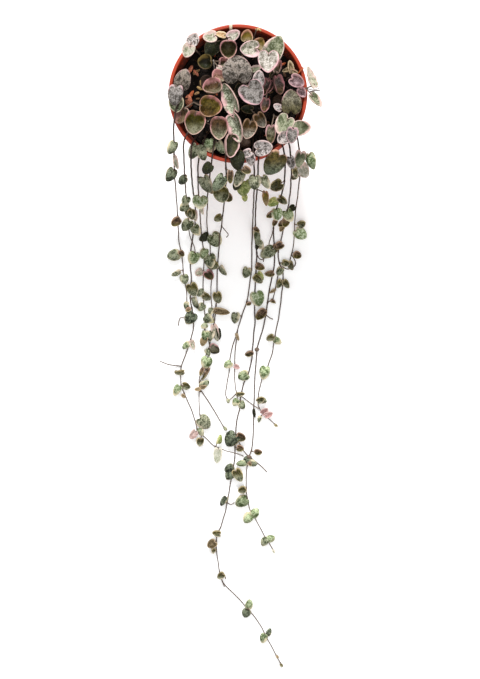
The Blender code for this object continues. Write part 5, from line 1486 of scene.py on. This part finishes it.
def add_strand(pile, route, radius, colour):
    """A dry fibre, root or twig."""
    points = smooth_route(route, STRAND_STEP)
    radii = radius * (1 - STRAND_TAPER * np.linspace(0, 1, len(points)))
    vertices, faces = tube(points, radii, STRAND_SIDES)
    pile.add(vertices, faces, bit_colour=[tone(colour)] * len(vertices))


def build_bits():
    """Bark, perlite, fibres and fallen scraps, strewn over the soil."""
    dice = random.Random("bits")
    pile = Pile()

    def anywhere(most=1.0):
        reach, turn = BITS_REACH * most * math.sqrt(dice.random()), dice.uniform(0, 2 * math.pi)
        return reach * math.cos(turn), reach * math.sin(turn)

    def tumbled(tilt):
        return (Matrix.Rotation(dice.uniform(*ANY_TURN), 3, "Z")
                @ Matrix.Rotation(dice.uniform(-tilt, tilt), 3, "X")
                @ Matrix.Rotation(dice.uniform(-tilt, tilt), 3, "Y"))

    for _ in range(BARK_CHIPS):
        length = dice.uniform(*BARK_LENGTHS)
        sizes = (length / 2, length * dice.uniform(*BARK_WIDTHS),
                 length * dice.uniform(*BARK_THICKNESSES))
        add_bit(pile, on_soil(*anywhere(), BARK_LIFT), sizes, tumbled(BARK_TILT),
                dice.choice(BARKS))
    for count, sizes, above, shape, tilt, colour, surface in STREWN_BITS:
        for _ in range(count):
            size = dice.uniform(*sizes)
            add_bit(pile, on_soil(*anywhere(), above), [size * share for share in shape],
                    tumbled(tilt), colour, surface)
    for _ in range(FIBRES):
        x, y = anywhere(FIBRE_REACH)
        turn, length = dice.uniform(*ANY_TURN), dice.uniform(*FIBRE_LENGTHS)
        step_x, step_y = length / 3 * math.cos(turn), length / 3 * math.sin(turn)
        route = [on_soil(x + number * step_x + dice.uniform(*FIBRE_STRAY),
                         y + number * step_y + dice.uniform(*FIBRE_STRAY),
                         dice.uniform(*FIBRE_LIFTS)) for number in range(-1, 3)]
        add_strand(pile, route, dice.uniform(*FIBRE_RADII), dice.choice(BARKS))
    for x, y, above, length, turn, colour in PLACED_BITS:
        add_bit(pile, on_soil(x, y, above), [length * share for share in PLACED_SHAPE],
                Matrix.Rotation(math.radians(turn), 3, "Z"), colour)
    for colour, radius, *route in PLACED_STRANDS:
        add_strand(pile, route, radius, colour)
    place(pile.build("soil_bits", bits_skin()), "soil")


def build_corms():
    """The woody tubers, half sunk in the soil."""
    material = corm_skin()
    for number, (x, y, radius) in enumerate(CORMS, 1):
        pile = Pile()
        pile.add(*lump(on_soil(x, y, CORM_RISE * radius), [radius * share for share in CORM_SHAPE],
                       Matrix.Rotation(number, 3, "Z"), CORM_SURFACE))
        place(pile.build(f"corm_{number}_skin", material), "corm", f"corm_{number}")


# --- Studio -------------------------------------------------------------------------------------


def build_floor():
    """The white surface that the pot stands on, kept out of the part itself."""
    half = FLOOR_SIDE * MM / 2
    mesh = bpy.data.meshes.new("studio_floor")
    mesh.from_pydata([(-half, -half, 0), (half, -half, 0), (half, half, 0), (-half, half, 0)], [],
                     [(0, 1, 2, 3)])
    mesh.materials.append(floor_skin())
    floor = add_object("studio_floor", mesh)


def build_lights():
    """White light from all round, a lamp behind the pot and a larger one above the vines."""
    world = bpy.data.worlds.new("studio")
    world.use_nodes = True
    background = world.node_tree.nodes["Background"]
    background.inputs["Color"].default_value = (1.0, 1.0, 1.0, 1.0)
    background.inputs["Strength"].default_value = WORLD_LIGHT
    bpy.context.scene.world = world
    for name, where, target, side, power in LAMPS:
        lamp = bpy.data.lights.new(name, "AREA")
        lamp.shape = "SQUARE"
        lamp.size = side * MM
        lamp.energy = power
        obj = add_object(name, lamp)
        obj.location = Vector(where) * MM
        obj.rotation_euler = (Vector(target) - Vector(where)).to_track_quat("-Z", "Y").to_euler()


def build_camera():
    """Looks straight down at the vines, with the pot in the upper part of the picture."""
    scene = bpy.context.scene
    camera = bpy.data.cameras.new("camera")
    camera.sensor_fit = "VERTICAL"
    camera.sensor_height = SENSOR
    camera.sensor_width = SENSOR
    camera.lens = SENSOR * CAMERA_HEIGHT / PICTURE_LENGTH
    camera.clip_end = CAMERA_REACH * MM
    scene.camera = add_object("camera", camera)
    scene.camera.location = Vector((CAMERA_X, CAMERA_Y, CAMERA_HEIGHT)) * MM
    scene.view_settings.view_transform = "Standard"


# --- All of it ----------------------------------------------------------------------------------

stem_material = stem_skin()
vine_leaf_material = leaf_skin("vine_leaf_skin", 0.6, 0.42)
crown_leaf_material = leaf_skin("crown_leaf_skin", 0.62, 0.4)
for vine_name, vine_table in VINES.items():
    build_vine(vine_name, vine_table, stem_material, vine_leaf_material)
for sprig_name, sprig_table in SPRIGS.items():
    build_sprig(sprig_name, sprig_table, stem_material, crown_leaf_material)
build_pot()
build_soil()
build_bits()
build_corms()
build_floor()
build_lights()
build_camera()

bpy.context.view_layer.update()
